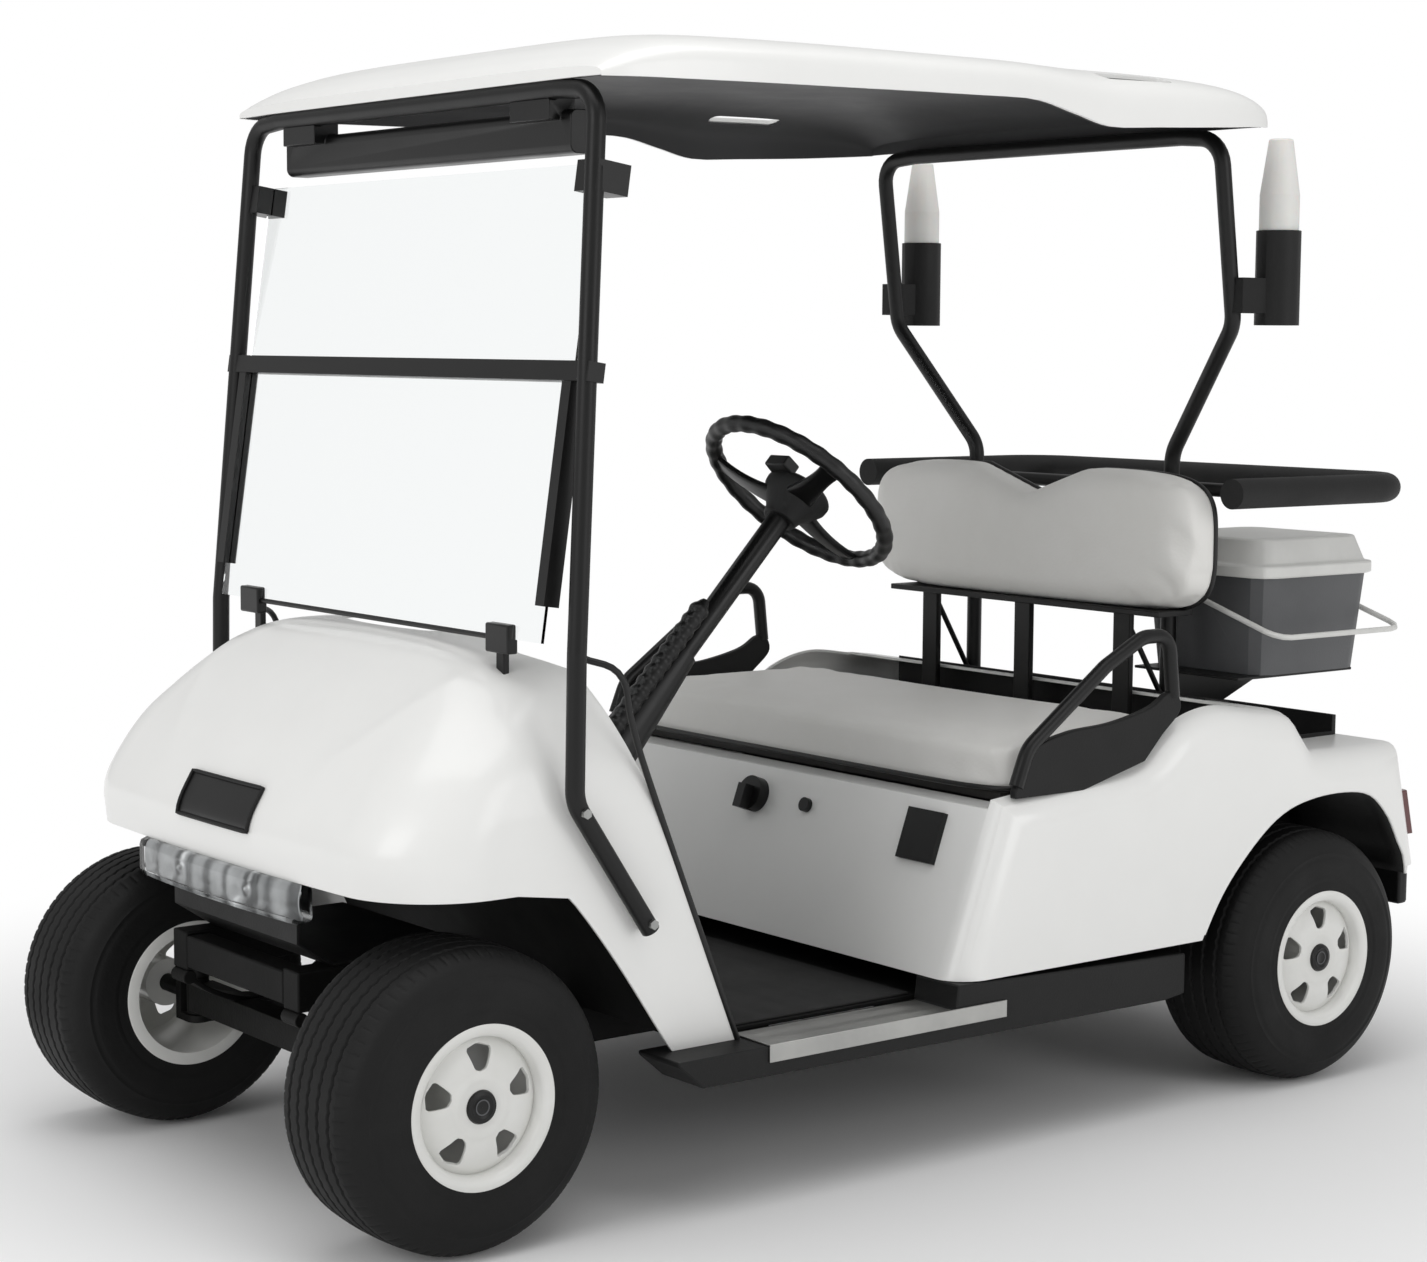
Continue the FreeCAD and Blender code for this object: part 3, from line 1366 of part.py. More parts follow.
def make_seat_back():
    """A padded back with a central notch, on a board and shelf that three posts carry."""
    half, low, high = D.back_half_width, D.back_low_z, D.back_high_z
    rear = D.back_front_x - D.back_thickness
    back = Piece("seat_back_cushion")
    outline = [
        (-half, low), (half, low), (half, high), (D.back_notch_half, high),
        (0, high - D.back_notch_depth), (-D.back_notch_half, high), (-half, high)]
    back.add("YZ", [outline], rear, D.back_front_x)
    back.round(D.back_round, edges_along(0, [(half, low), (half, high), (-half, low), (-half, high)]))
    back.round(D.back_notch_half * 0.2, edges_along(0, [(D.back_notch_half, high),
                                                         (-D.back_notch_half, high)]))

    def front(edge):
        return all(is_near(vertex.Point.x, D.back_front_x) for vertex in edge.Vertexes)
    back.bevel(D.back_thickness * 0.2, front)
    board_x = rear - D.fit_gap
    top = low - D.fit_gap
    board_half = half - D.back_round
    board_top = high - D.back_notch_depth - D.back_round / 2
    shapes = [block((board_x - D.board_thickness, board_x), (-board_half, board_half),
                    (top - D.board_thickness, board_top)),
              block((board_x - D.board_thickness, D.post_x + D.post_thickness), (-board_half, board_half),
                    (top - D.board_thickness, top))]
    for y in (-D.post_y, 0, D.post_y):
        shapes.append(block((D.post_x - D.post_thickness, D.post_x),
                            (y - D.post_width / 2, y + D.post_width / 2), (D.seat_ledge_z + D.fit_gap, top)))
    solid("seat_back_frame", joined(shapes))


# Canopy: struts, roof and windshield


def front_strut_points(side):
    low_y, high_y = side * D.front_strut_y, side * D.front_strut_top_y
    return [
        (D.strut_foot_x, low_y, D.strut_foot_z), (D.arch_corner_x, low_y, D.strut_knee_z),
        (D.strut_waist_x, low_y, D.cowl_top_z),
        (D.strut_top_x, high_y, D.strut_top_z),
        (D.strut_top_x, high_y - side * D.strut_bend * 1.5, D.strut_top_z + D.strut_radius * 0.5)]


def front_strut_at(z):
    """The front struts' centre line at a height above the cowl, as its X and its distance out."""
    low, high = front_strut_points(1)[2:4]
    share = (z - low[2]) / (high[2] - low[2])
    return low[0] + (high[0] - low[0]) * share, low[1] + (high[1] - low[1]) * share


def canopy_tube(points, radius):
    left, right = points(1), points(-1)
    return bent_tube(left + right[::-1], radius, D.strut_bend)


def make_front_struts():
    """One tube up the left leg, across below the roof and down the right leg, with its leg brackets."""
    brackets = []
    for side in SIDES.values():
        for x, z in ((D.strut_foot_x, D.strut_foot_z), (D.strut_waist_x, D.strut_bracket_z)):
            near, far = sorted((side * (D.cowl_half_width + D.fit_gap), side * D.front_strut_y))
            brackets.append(block((x, x + D.strut_radius * 2), (near, far), (z, z + D.strut_radius * 3)))
    solid("front_struts", joined([canopy_tube(front_strut_points, D.strut_radius)] + brackets))


def rear_strut_points(side):
    low_y, high_y = side * D.rear_strut_low_y, side * D.rear_strut_high_y
    return [
        (D.rear_strut_x, low_y, strut_seat_z + D.fit_gap),
        (D.rear_strut_x, low_y, D.rack_z + D.strut_bend),
        (D.rear_knee_x, high_y, D.holder_low_z), (D.rear_strut_top_x, high_y, D.strut_top_z),
        (D.rear_strut_top_x, high_y - side * D.strut_bend * 1.5, D.strut_top_z + D.strut_radius * 0.5)]


def make_rear_struts():
    """One tube up behind the seat, flared out, across below the roof and down again."""
    solid("rear_struts", canopy_tube(rear_strut_points, D.strut_radius))


# Place along the roof, lip height, crown height and half width, as shares of the roof's own sizes
ROOF_SECTION_SHARES = [
    (0.000, 0.00, 0.22, 0.945), (0.020, 0.00, 0.46, 0.965), (0.050, 0.01, 0.70, 0.980),
    (0.100, 0.02, 0.90, 0.992), (0.200, 0.05, 0.97, 1.000), (0.350, 0.09, 1.00, 1.000),
    (0.500, 0.13, 1.00, 1.000), (0.580, 0.13, 1.00, 1.000), (0.640, -0.06, 1.00, 1.000),
    (0.700, -0.25, 1.00, 1.000), (0.780, -0.20, 1.00, 1.000), (0.880, -0.12, 0.96, 0.998),
    (0.940, -0.06, 0.86, 0.985), (0.980, -0.02, 0.66, 0.955), (1.000, 0.00, 0.42, 0.920)]
ROOF_CROWN_POWER = 4.5
ROOF_ARC_STEPS = 18


def roof_section(x, lip_z, crown_z, half, below):
    """A crowned arch across the roof, closed by a straight line that may lie below its lip."""
    points = []
    for i in range(ROOF_ARC_STEPS + 1):
        angle = math.pi * (i / ROOF_ARC_STEPS - 0.5)
        across = math.copysign(abs(math.sin(angle)) ** (2 / ROOF_CROWN_POWER), angle)
        up = abs(math.cos(angle)) ** (2 / ROOF_CROWN_POWER)
        points.append(Vector(x, half * across, lip_z + (crown_z - lip_z) * up))
    if below:
        points += [Vector(x, half, lip_z - below), Vector(x, -half, lip_z - below)]
    return points


def roof_form(wall):
    """The roof's filled form, with its crown, ends and sides moved inwards by the wall."""
    run = D.roof_front_x - D.roof_rear_x - wall * 2
    rise = D.roof_crown_z - D.roof_front_z
    sections = []
    for along, lip, crown, wide in ROOF_SECTION_SHARES:
        sections.append(roof_section(
            D.roof_front_x - wall - run * along, D.roof_front_z + rise * lip,
            D.roof_front_z + rise * crown - wall, D.roof_half_width * wide - wall,
            D.overrun if wall else 0))
    return faceted(sections)


# How near two faces count as one in a cut, as a share of the fit's gap
FUZZ_SHARE = 0.003


def make_roof():
    """A moulded canopy with a deep lip, two hand grips at the rear and bosses down to the struts."""
    filled = roof_form(0)
    shape = filled.cut((roof_form(D.roof_wall),), D.fit_gap * FUZZ_SHARE)
    for x in (D.strut_top_x, D.rear_strut_top_x):
        for side in SIDES.values():
            boss = block((x - D.strut_radius, x + D.strut_radius),
                         (side * D.boss_inner_y, side * D.boss_outer_y), (D.strut_top_z, D.roof_crown_z))
            shape = shape.fuse(boss.common(filled))
    for points in (front_strut_points, rear_strut_points):
        shape = shape.cut(canopy_tube(points, D.strut_radius + D.fit_gap))
    for side in SIDES.values():
        y = side * D.grip_y
        grip = block((D.grip_front_x - D.grip_length, D.grip_front_x),
                     (y - D.grip_width / 2, y + D.grip_width / 2),
                     (D.roof_front_z - D.overrun * 3, D.roof_crown_z + D.overrun))
        upright = [edge for edge in grip.Edges
                   if abs(edge.Vertexes[0].Z - edge.Vertexes[1].Z) > D.overrun]
        grip = grip.makeFillet(D.grip_width * 0.4, upright)
        shape = shape.cut(grip)
    solid("roof", sorted(shape.Solids, key=lambda part: part.Volume)[-1])


def leant(shape):
    """Leans an upright shape back about the windshield's foot."""
    angle = math.degrees(math.atan((D.pane_low_x - D.pane_hinge_x) / (D.pane_split_z - D.pane_low_z)))
    shape.rotate(Vector(D.pane_low_x, 0, D.pane_low_z), Vector(0, 1, 0), -angle)
    return shape


def make_windshield():
    """Two clear panes between the struts, with the hinge bar, channels, clamps and sill that hold them."""
    base, x, half = D.pane_low_z, D.pane_low_x, D.pane_half_width
    thin, gap = D.pane_thickness / 2, D.fit_gap
    bar_low, bar_high = D.pane_split_z - D.hinge_bar / 2, D.pane_split_z + D.hinge_bar / 2
    lower = block((x - thin, x + thin), (-half, half), (base, bar_low - gap))
    upper = block((x - thin, x + thin), (-half, half), (bar_high + gap, D.pane_top_z))
    solid("windshield_panes", Part.makeCompound([leant(lower), leant(upper)]))
    wide = D.front_strut_y
    trims = [block((x - D.hinge_bar / 2, x + D.hinge_bar / 2), (-wide, wide), (bar_low, bar_high))]
    channel_top = bar_low - gap
    for side in SIDES.values():
        y_in, y_out = side * (half - D.channel_width / 2), side * (half + D.channel_width / 2)
        channel = block((x - D.channel_depth / 2, x + D.channel_depth / 2), (y_in, y_out),
                        (base + D.channel_depth * 2, channel_top))
        groove = block((x - thin - gap, x + thin + gap), (y_in - side * D.overrun, side * (half + gap)),
                       (base, channel_top + D.overrun))
        trims.append(channel.cut(groove))
        clamp = block((x - D.clamp_back, x + D.clamp_ahead), (side * D.clamp_inner_y, side * D.clamp_outer_y),
                      (D.pane_top_z - D.clamp_size, D.pane_top_z))
        slot = block((x - thin - gap, x + thin + gap), (side * (half - D.clamp_size), side * (half + gap)),
                     (D.pane_top_z - D.clamp_size - gap, D.pane_top_z + gap))
        trims.append(clamp.cut(slot))
    clear = canopy_tube(front_strut_points, D.strut_radius + gap)
    placed = [leant(trim).cut(clear) for trim in trims]
    sill = block((x - D.sill_thickness / 2, x + D.sill_thickness / 2),
                 (-D.sill_half_width, D.sill_half_width), (base - D.sill_drop, base - gap * 4))
    placed.append(sill.cut(cowl_form(-gap)))
    solid("windshield_trim", Part.makeCompound(placed))
    strut_x = front_strut_at(D.visor_high_z)[0]
    visor_x = strut_x - D.strut_radius - gap
    visor = block((visor_x - D.visor_depth, visor_x), (-D.visor_half_width, D.visor_half_width),
                  (D.visor_low_z, D.visor_high_z))
    long_edges = [edge for edge in visor.Edges
                  if abs(edge.Vertexes[0].Y - edge.Vertexes[1].Y) > D.visor_half_width]
    visor = visor.makeFillet(D.visor_depth * 0.25, long_edges)
    hangers = []
    for side in SIDES.values():
        hangers.append(block((visor_x - D.visor_depth / 2, D.strut_top_x + D.strut_radius / 2),
                             (side * D.boss_inner_y, side * D.boss_outer_y),
                             (D.visor_high_z - D.visor_depth * 0.3, D.strut_top_z)))
    solid("roof_visor", joined([visor] + hangers).cut(clear))


# Steering column, wheel and pedals


def toe_x(z, lift):
    """The toe board's rear face at a height, stood off by a lift measured square to it."""
    run, rise = D.toe_top_x - D.toe_foot_x, D.toe_top_z - D.floor_z
    return D.toe_foot_x + run * ((z - D.floor_z) / rise) - lift * (math.hypot(run, rise) / rise)


def beyond_toe(lift):
    """All that lies ahead of the toe board's rear face, stood off by the lift."""
    low, high = D.floor_z - D.overrun, D.toe_top_z + D.overrun * 2
    far = D.cowl_front_x
    return prism([(toe_x(low, lift), low), (far, low), (far, high), (toe_x(high, lift), high)],
                 -D.floor_half_width, D.floor_half_width)


RIM_STEPS = 36
RIM_SIDES = 8


def rim_ring(centre, line):
    """The wheel's rim in flat facets, about the column's line."""
    across = Vector(0, 1, 0)
    upward = line.cross(across)
    sections = []
    for i in range(RIM_STEPS):
        angle = 2 * math.pi * i / RIM_STEPS
        outward = across * math.cos(angle) + upward * math.sin(angle)
        along = line.cross(outward)
        sections.append(ring(centre + outward * float(D.wheel_rim_radius), along, float(D.wheel_grip_radius),
                             RIM_SIDES, line))
    return faceted(sections, closed=True)


def make_steering():
    """The column with its boot, and a three-spoke wheel turned about the column's line."""
    foot, top, line = column_axis()
    shaft = taper(foot - line * float(D.column_run), top, D.column_radius, D.column_radius)
    boot_foot = foot + line * float(D.boot_top_radius)
    boot = taper(boot_foot, boot_foot + line * float(D.boot_length), D.boot_foot_radius, D.boot_top_radius)
    solid("steering_column", joined([shaft, boot]).cut(beyond_toe(D.fit_gap)))
    hub_base = top + line * float(D.fit_gap)
    rim_centre = hub_base + line * float(D.wheel_dish)
    rim = rim_ring(rim_centre, line)
    pad_low = hub_base + line * float(D.wheel_dish * 0.7)
    hub = taper(hub_base, pad_low, D.column_radius * 1.4, D.hub_pad_radius)
    across = Vector(0, 1, 0)
    upward = line.cross(across)
    spokes = []
    hub_top = hub_base + line * float(D.wheel_dish * 0.6)
    for turn in (90, 205, 335):
        angle = math.radians(turn)
        direction = across * math.cos(angle) + upward * math.sin(angle)
        tip = rim_centre + direction * float(D.wheel_rim_radius)
        spokes.append(taper(hub_top + direction * float(D.column_radius), tip,
                            D.wheel_grip_radius * 0.8, D.wheel_grip_radius * 0.8, RIM_SIDES))
    pad = taper(pad_low, pad_low + line * float(D.wheel_dish * 0.35), D.hub_pad_radius, D.hub_pad_radius)
    solid("steering_wheel", joined([rim, hub, pad] + spokes))


def make_pedals():
    """Two pads on arms that rise from the toe board."""
    ahead = beyond_toe(D.mat_thickness + D.fit_gap)
    pedals = []
    for y in (D.column_y - D.pedal_spread, D.column_y + D.pedal_spread):
        low_z = D.floor_z + D.pedal_height * 0.6
        middle_z = low_z + D.pedal_height / 2
        front_x = toe_x(middle_z, D.pedal_lift)
        pad = block((front_x - D.panel_wall * 2, front_x), (y - D.pedal_width / 2, y + D.pedal_width / 2),
                    (low_z, low_z + D.pedal_height))
        arm = rod((front_x, y, middle_z), (front_x + D.pedal_lift * 3, y, middle_z), D.tie_rod_radius)
        pedals.append(joined([pad, arm]).cut(ahead))
    solid("pedals", Part.makeCompound(pedals))


# Hip restraints, bag rack, cooler and bottles

# Corners of the tube and of the skirt, as shares of the restraint's length and height
REST_TUBE_SHARES = [(0.02, 0.03), (0.086, 0.284), (0.558, 0.802), (0.797, 0.987), (0.967, 0.987), (1.0, 0.54)]
REST_SKIRT_SHARES = [
    (0.0, 0.0), (0.103, 0.267), (0.314, 0.37), (0.597, 0.405), (0.839, 0.483), (0.95, 0.573),
    (1.01, 0.573), (1.036, 0.44), (0.92, 0.276), (0.81, 0.103), (0.42, -0.05), (0.0, -0.05)]


def make_hip_restraints():
    """A bent tube beside each end of the seat, with a skirt that follows the body's top."""
    y = D.rest_y

    def placed(shares):
        return [(D.rest_front_x - D.rest_length * along, D.rest_low_z + D.rest_height * up)
                for along, up in shares]

    tube = bent_tube([(x, y, z) for x, z in placed(REST_TUBE_SHARES)], D.rest_radius, D.strut_bend)
    skirt = prism(placed(REST_SKIRT_SHARES), y - D.rest_skirt / 2, y + D.rest_skirt / 2)
    solid("hip_restraints", both_sides(joined([tube, skirt]).cut(rear_form(-D.fit_gap))))


def make_bag_rack():
    """A padded hoop behind the seat, with a bar across the rear struts and a shelf for the cooler."""
    z, half, rear = D.rack_z, D.rack_half_width, D.rack_rear_x
    corners = [(D.rack_front_x, half, z), (rear, half, z), (rear, -half, z), (D.rack_front_x, -half, z)]
    hoop = bent_tube(corners, D.rack_radius, D.strut_bend * 1.5)
    carrier = rod((D.rear_strut_x, -half, z), (D.rear_strut_x, half, z), D.rest_radius)
    clear = canopy_tube(rear_strut_points, D.strut_radius + D.fit_gap)
    solid("bag_rack", joined([hoop, carrier]).cut(clear))
    top = D.cooler_low_z - D.fit_gap
    margin = D.cooler_wall
    shelf = block((D.cooler_rear_x + margin, D.rear_strut_x),
                  (D.cooler_inner_y + margin, D.cooler_outer_y - margin), (top - D.shelf_thickness, top))
    brace = prism([
        (D.rear_strut_x, top - D.shelf_thickness), (D.cooler_rear_x + margin * 2, top - D.shelf_thickness),
        (D.rear_strut_x, top - D.shelf_drop)],
        D.rear_strut_low_y - D.rest_radius, D.rear_strut_low_y + D.rest_radius)
    solid("cooler_shelf", joined([shelf, brace]).cut(clear))


def make_cooler():
    """An insulated box with tapered walls, a stepped lid and a bail handle."""
    x_range = (D.cooler_rear_x, D.cooler_front_x)
    y_range = (D.cooler_inner_y, D.cooler_outer_y)

    def box(inset, low, high, draft):
        levels = []
        for z, pull in ((low, draft + inset), (high, inset)):
            corner = D.cooler_wall * 1.4 - inset * 0.6
            x_low, x_high = x_range[0] + pull, x_range[1] - pull
            y_low, y_high = y_range[0] + pull, y_range[1] - pull
            level = []
            for i, (x, y) in enumerate(((x_low, y_low), (x_high, y_low), (x_high, y_high), (x_low, y_high))):
                in_x = corner if x == x_low else -corner
                in_y = corner if y == y_low else -corner
                bend = [(x, y + in_y), (x + in_x * 0.3, y + in_y * 0.3), (x + in_x, y)]
                level += [Vector(px, py, z) for px, py in (bend[::-1] if i % 2 else bend)]
            levels.append(level)
        return faceted(levels)

    wall = D.cooler_wall
    outer = box(0, D.cooler_low_z, D.cooler_rim_z, D.cooler_taper)
    inner = box(wall, D.cooler_low_z + wall, D.cooler_rim_z + D.overrun, D.cooler_taper)
    pivot_y = (y_range[0] + y_range[1]) / 2
    handle_z = D.cooler_rim_z - wall * 1.6
    pin_in = D.bail_pin_depth
    bore = D.bail_pin_radius + D.shaft_gap
    holes = [rod((x - pin_in, pivot_y, handle_z), (x + pin_in, pivot_y, handle_z), bore) for x in x_range]
    body = outer.cut(inner)
    for hole in holes:
        body = body.cut(hole)
    solid("cooler_body", body)
    lid_low = D.cooler_rim_z + D.fit_gap
    lid_rim = box(-wall / 2, lid_low, lid_low + wall, 0)
    lid_top = box(0, D.cooler_lid_z, lid_low + wall, D.cooler_taper)
    solid("cooler_lid", joined([lid_rim, lid_top]))
    gap = D.bail_gap
    out_y = y_range[1] + D.bail_reach
    ends = (x_range[0] - gap, x_range[1] + gap)
    hung_z = handle_z - D.bail_drop
    bail = bent_tube([
        (ends[0], pivot_y, handle_z), (ends[0], out_y, hung_z),
        (ends[1], out_y, hung_z), (ends[1], pivot_y, handle_z)], D.panel_wall, wall * 1.5)
    pins = []
    for end, x, sign in zip(ends, x_range, (1, -1)):
        tip = x + sign * (pin_in - D.fit_gap * 3)
        pins.append(rod((end, pivot_y, handle_z), (tip, pivot_y, handle_z), D.bail_pin_radius))
    solid("cooler_handle", joined([bail] + pins))


def make_bottles():
    """A sand bottle in an open holder on each rear strut."""
    x, y = D.bottle_x, D.bottle_y
    gap = D.fit_gap
    inner = D.bottle_radius + gap
    outer = inner + D.holder_wall
    base_z = D.holder_low_z + D.holder_wall
    tube = taper((x, y, D.holder_low_z), (x, y, D.holder_high_z), outer, outer, DRUM_SIDES)
    hollow = taper((x, y, base_z), (x, y, D.holder_high_z + D.overrun), inner, inner, DRUM_SIDES)
    arm_low = D.holder_low_z + D.holder_arm
    arm = block((x, D.rear_knee_x + D.strut_radius), (y - D.holder_arm, y + D.strut_radius / 2),
                (arm_low, arm_low + D.holder_arm * 3))
    clear = canopy_tube(rear_strut_points, D.strut_radius + gap)
    holder = joined([tube, arm]).cut(hollow).cut(clear)
    solid("bottle_holders", both_sides(sorted(holder.Solids, key=lambda part: part.Volume)[-1]))
    neck_z = D.bottle_neck_z
    radius = D.bottle_radius
    stations = ((base_z + gap, radius), (neck_z, radius), (D.bottle_high_z, radius * 0.6))
    rings = [ring(Vector(x, y, z), Vector(0, 0, 1), float(radius), DRUM_SIDES) for z, radius in stations]
    solid("sand_bottles", both_sides(faceted(rings)))


make_seat()
make_seat_back()
make_front_struts()
make_rear_struts()
make_roof()
make_windshield()
make_steering()
make_pedals()
make_hip_restraints()
make_bag_rack()
make_cooler()
make_bottles()




def parts_of():
    return [item for item in document.Objects
            if item.TypeId in ("PartDesign::Body", "Part::Feature")]


def check_document():
    """Stops when a feature failed or a piece is empty or not valid."""
    document.recompute()
    for item in document.Objects:
        if "Invalid" in item.State or "Error" in item.State:
            raise ValueError(f"{item.Name} failed: {item.State}")
    for item in parts_of():
        if item.Shape.isNull() or not item.Shape.isValid() or not item.Shape.Solids:
            raise ValueError(f"{item.Label} has no valid shape")


check_document()
os.makedirs("parts", exist_ok=True)
for item in parts_of():
    item.Shape.exportStep(f"parts/{item.Label}.step")
    print(item.Label, len(item.Shape.Solids), round(item.Shape.Volume / 1000), "cm3")
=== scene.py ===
import json
import math
from contextlib import contextmanager

import bmesh
import bpy
import numpy as np
from mathutils import Matrix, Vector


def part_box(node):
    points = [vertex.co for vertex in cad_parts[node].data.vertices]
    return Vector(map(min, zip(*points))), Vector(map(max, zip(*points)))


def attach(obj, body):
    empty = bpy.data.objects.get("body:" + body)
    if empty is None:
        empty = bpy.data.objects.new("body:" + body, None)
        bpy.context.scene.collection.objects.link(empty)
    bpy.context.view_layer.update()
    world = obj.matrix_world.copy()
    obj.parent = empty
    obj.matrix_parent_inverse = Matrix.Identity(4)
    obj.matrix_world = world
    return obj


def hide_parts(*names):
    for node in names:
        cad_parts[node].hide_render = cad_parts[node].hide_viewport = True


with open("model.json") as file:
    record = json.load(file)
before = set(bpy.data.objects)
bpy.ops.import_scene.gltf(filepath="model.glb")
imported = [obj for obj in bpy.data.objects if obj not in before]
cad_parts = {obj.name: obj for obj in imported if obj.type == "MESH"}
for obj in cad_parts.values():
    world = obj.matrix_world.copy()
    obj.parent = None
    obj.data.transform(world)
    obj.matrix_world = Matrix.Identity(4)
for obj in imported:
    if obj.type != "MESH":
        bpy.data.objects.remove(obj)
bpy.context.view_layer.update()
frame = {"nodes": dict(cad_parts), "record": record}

# A two-seat golf cart with canopy, folding windshield, bag rack, cooler box and sand bottles.
# Sizes and places are in millimetres unless a line says metres, and the meshes are in metres.
# +X is forward, +Y is the driver's side, +Z is up, and the ground is at Z = 0.

MM = 0.001
BODY_OF = {node: body for body, nodes in frame["record"]["behaviour"]["bodies"].items() for node in nodes}
SLOT_OF = {part["node"]: part["material_slot"] for part in frame["record"]["subparts"]}
SIDES = (("left", 1), ("right", -1))
MIRROR = np.array([1, -1, 1])


# Materials

DARK_TONE, LIGHT_TONE = 0.3, 0.7
WAVE_PHASE = 20.0


def linear(code):
    """An sRGB hex colour as linear light, ((c + 0.055) / 1.055) ^ 2.4 above the toe, with an alpha of one."""
    parts = [int(code[i:i + 2], 16) / 255 for i in (1, 3, 5)]
    return tuple(c / 12.92 if c <= 0.04045 else ((c + 0.055) / 1.055) ** 2.4 for c in parts) + (1.0,)


def add(tree, kind, settings, inputs):
    """Adds one node with its settings, and sets or links its inputs."""
    node = tree.nodes.new(kind)
    for name, value in settings.items():
        setattr(node, name, value)
    for name, value in inputs.items():
        if isinstance(value, tuple) and isinstance(value[0], bpy.types.Node):
            tree.links.new(value[0].outputs[value[1]], node.inputs[name])
        else:
            node.inputs[name].default_value = value
    return node


def emptied(owner):
    """The node tree of a material or world, with nothing in it."""
    owner.use_nodes = True
    owner.node_tree.nodes.clear()
    return owner.node_tree


def finish(name, light, dark, roughness, grain_mm, depth_mm, blotch_mm=120.0, worn=0.06, bumps=(),
           **sockets):
    """A finish whose colour and gloss drift between two tones, with a fine grain in its bump."""
    material = bpy.data.materials.new(name)
    tree = emptied(material)
    place = add(tree, "ShaderNodeTexCoord", {}, {})
    drift = add(tree, "ShaderNodeTexNoise", {}, {
        "Vector": (place, "Object"), "Scale": 1 / (blotch_mm * MM), "Detail": 4.0, "Roughness": 0.6})
    tone = add(tree, "ShaderNodeValToRGB", {}, {"Fac": (drift, "Fac")})
    for stop, position, code in zip(tone.color_ramp.elements, (DARK_TONE, LIGHT_TONE), (dark, light)):
        stop.position, stop.color = position, linear(code)
    grain = add(tree, "ShaderNodeTexNoise", {}, {
        "Vector": (place, "Object"), "Scale": 1 / (grain_mm * MM), "Detail": 2.0, "Roughness": 0.5})
    gloss = add(tree, "ShaderNodeMapRange", {}, {
        "Value": (drift, "Fac"), "From Min": DARK_TONE, "From Max": LIGHT_TONE,
        "To Min": roughness - worn, "To Max": roughness + worn})
    bump = add(tree, "ShaderNodeBump", {}, {
        "Height": (grain, "Fac"), "Strength": 1.0, "Distance": depth_mm * MM})
    for texture, output, depth in [made(tree, place) for made in bumps]:
        bump = add(tree, "ShaderNodeBump", {}, {
            "Height": (texture, output), "Strength": 1.0, "Distance": depth * MM, "Normal": (bump, "Normal")})
    shader = add(tree, "ShaderNodeBsdfPrincipled", {}, {
        "Base Color": (tone, "Color"), "Roughness": (gloss, "Result"), "Normal": (bump, "Normal"), **sockets})
    add(tree, "ShaderNodeOutputMaterial", {}, {"Surface": (shader, "BSDF")})
    return material


def cells(size_mm, depth_mm):
    """Rounded cells, as in leather grain or a moulded texture."""
    def made(tree, place):
        """The pattern in one material's tree, with the output that holds its height."""
        node = add(tree, "ShaderNodeTexVoronoi", {"feature": "F1"}, {
            "Vector": (place, "Object"), "Scale": 1 / (size_mm * MM)})
        return node, "Distance", depth_mm
    return made


def ribs(direction, pitch_mm, depth_mm):
    """Parallel ribs 0.5 + 0.5 sin(WAVE_PHASE * scale * x) across X or Y."""
    def made(tree, place):
        """The pattern in one material's tree, with the output that holds its height."""
        node = add(tree, "ShaderNodeTexWave", {"bands_direction": direction}, {
            "Vector": (place, "Object"), "Scale": 2 * math.pi / (WAVE_PHASE * pitch_mm * MM)})
        return node, "Fac", depth_mm
    return made


def clear_sheet(name, tint, roughness, ior):
    """A clear plastic sheet that light passes, with faint wipe marks in its gloss."""
    material = bpy.data.materials.new(name)
    tree = emptied(material)
    place = add(tree, "ShaderNodeTexCoord", {}, {})
    marks = add(tree, "ShaderNodeTexNoise", {}, {"Vector": (place, "Object"), "Scale": 6.0, "Detail": 5.0})
    haze = add(tree, "ShaderNodeMapRange", {}, {
        "Value": (marks, "Fac"), "From Min": 0.4, "From Max": 0.7,
        "To Min": roughness * 0.5, "To Max": roughness * 1.5})
    shader = add(tree, "ShaderNodeBsdfPrincipled", {}, {
        "Base Color": linear(tint), "Roughness": (haze, "Result"), "Transmission Weight": 1.0, "IOR": ior})
    add(tree, "ShaderNodeOutputMaterial", {}, {"Surface": (shader, "BSDF")})
    return material


# Painted body mouldings: a glossy topcoat over plastic, slightly wavy so that reflections soften
body_white = finish("gloss_white_painted_moulding", "#EFEFED", "#EDEDEB", 0.32, 30.0, 0.03, worn=0.02,
                    **{"IOR": 1.5, "Coat Weight": 0.35, "Coat Roughness": 0.12})
# Vulcanised rubber: nearly black, dull, slightly grey where it is dusty
tyre_rubber = finish("vulcanised_tyre_rubber", "#0D0D0D", "#090909", 0.66, 5.0, 0.25, worn=0.08,
                     **{"IOR": 1.52, "Specular IOR Level": 0.3})
# White enamel on pressed steel wheels
wheel_white = finish("white_enamelled_pressed_steel", "#E6E6E3", "#DEDEDA", 0.34, 8.0, 0.05,
                     **{"IOR": 1.5, "Coat Weight": 0.2, "Coat Roughness": 0.2})
# Powder coat on tube and plate: satin black with a fine orange peel
tube_black = finish("powder_coated_black_tube", "#101010", "#0A0A0A", 0.4, 4.0, 0.08,
                    **{"IOR": 1.5, "Specular IOR Level": 0.35})
# Paint over hot-rolled steel below the body, dusty and dull
chassis_black = finish("brushed_on_black_chassis_paint", "#0D0D0C", "#070707", 0.65, 6.0, 0.2,
                       **{"IOR": 1.5, "Specular IOR Level": 0.2})
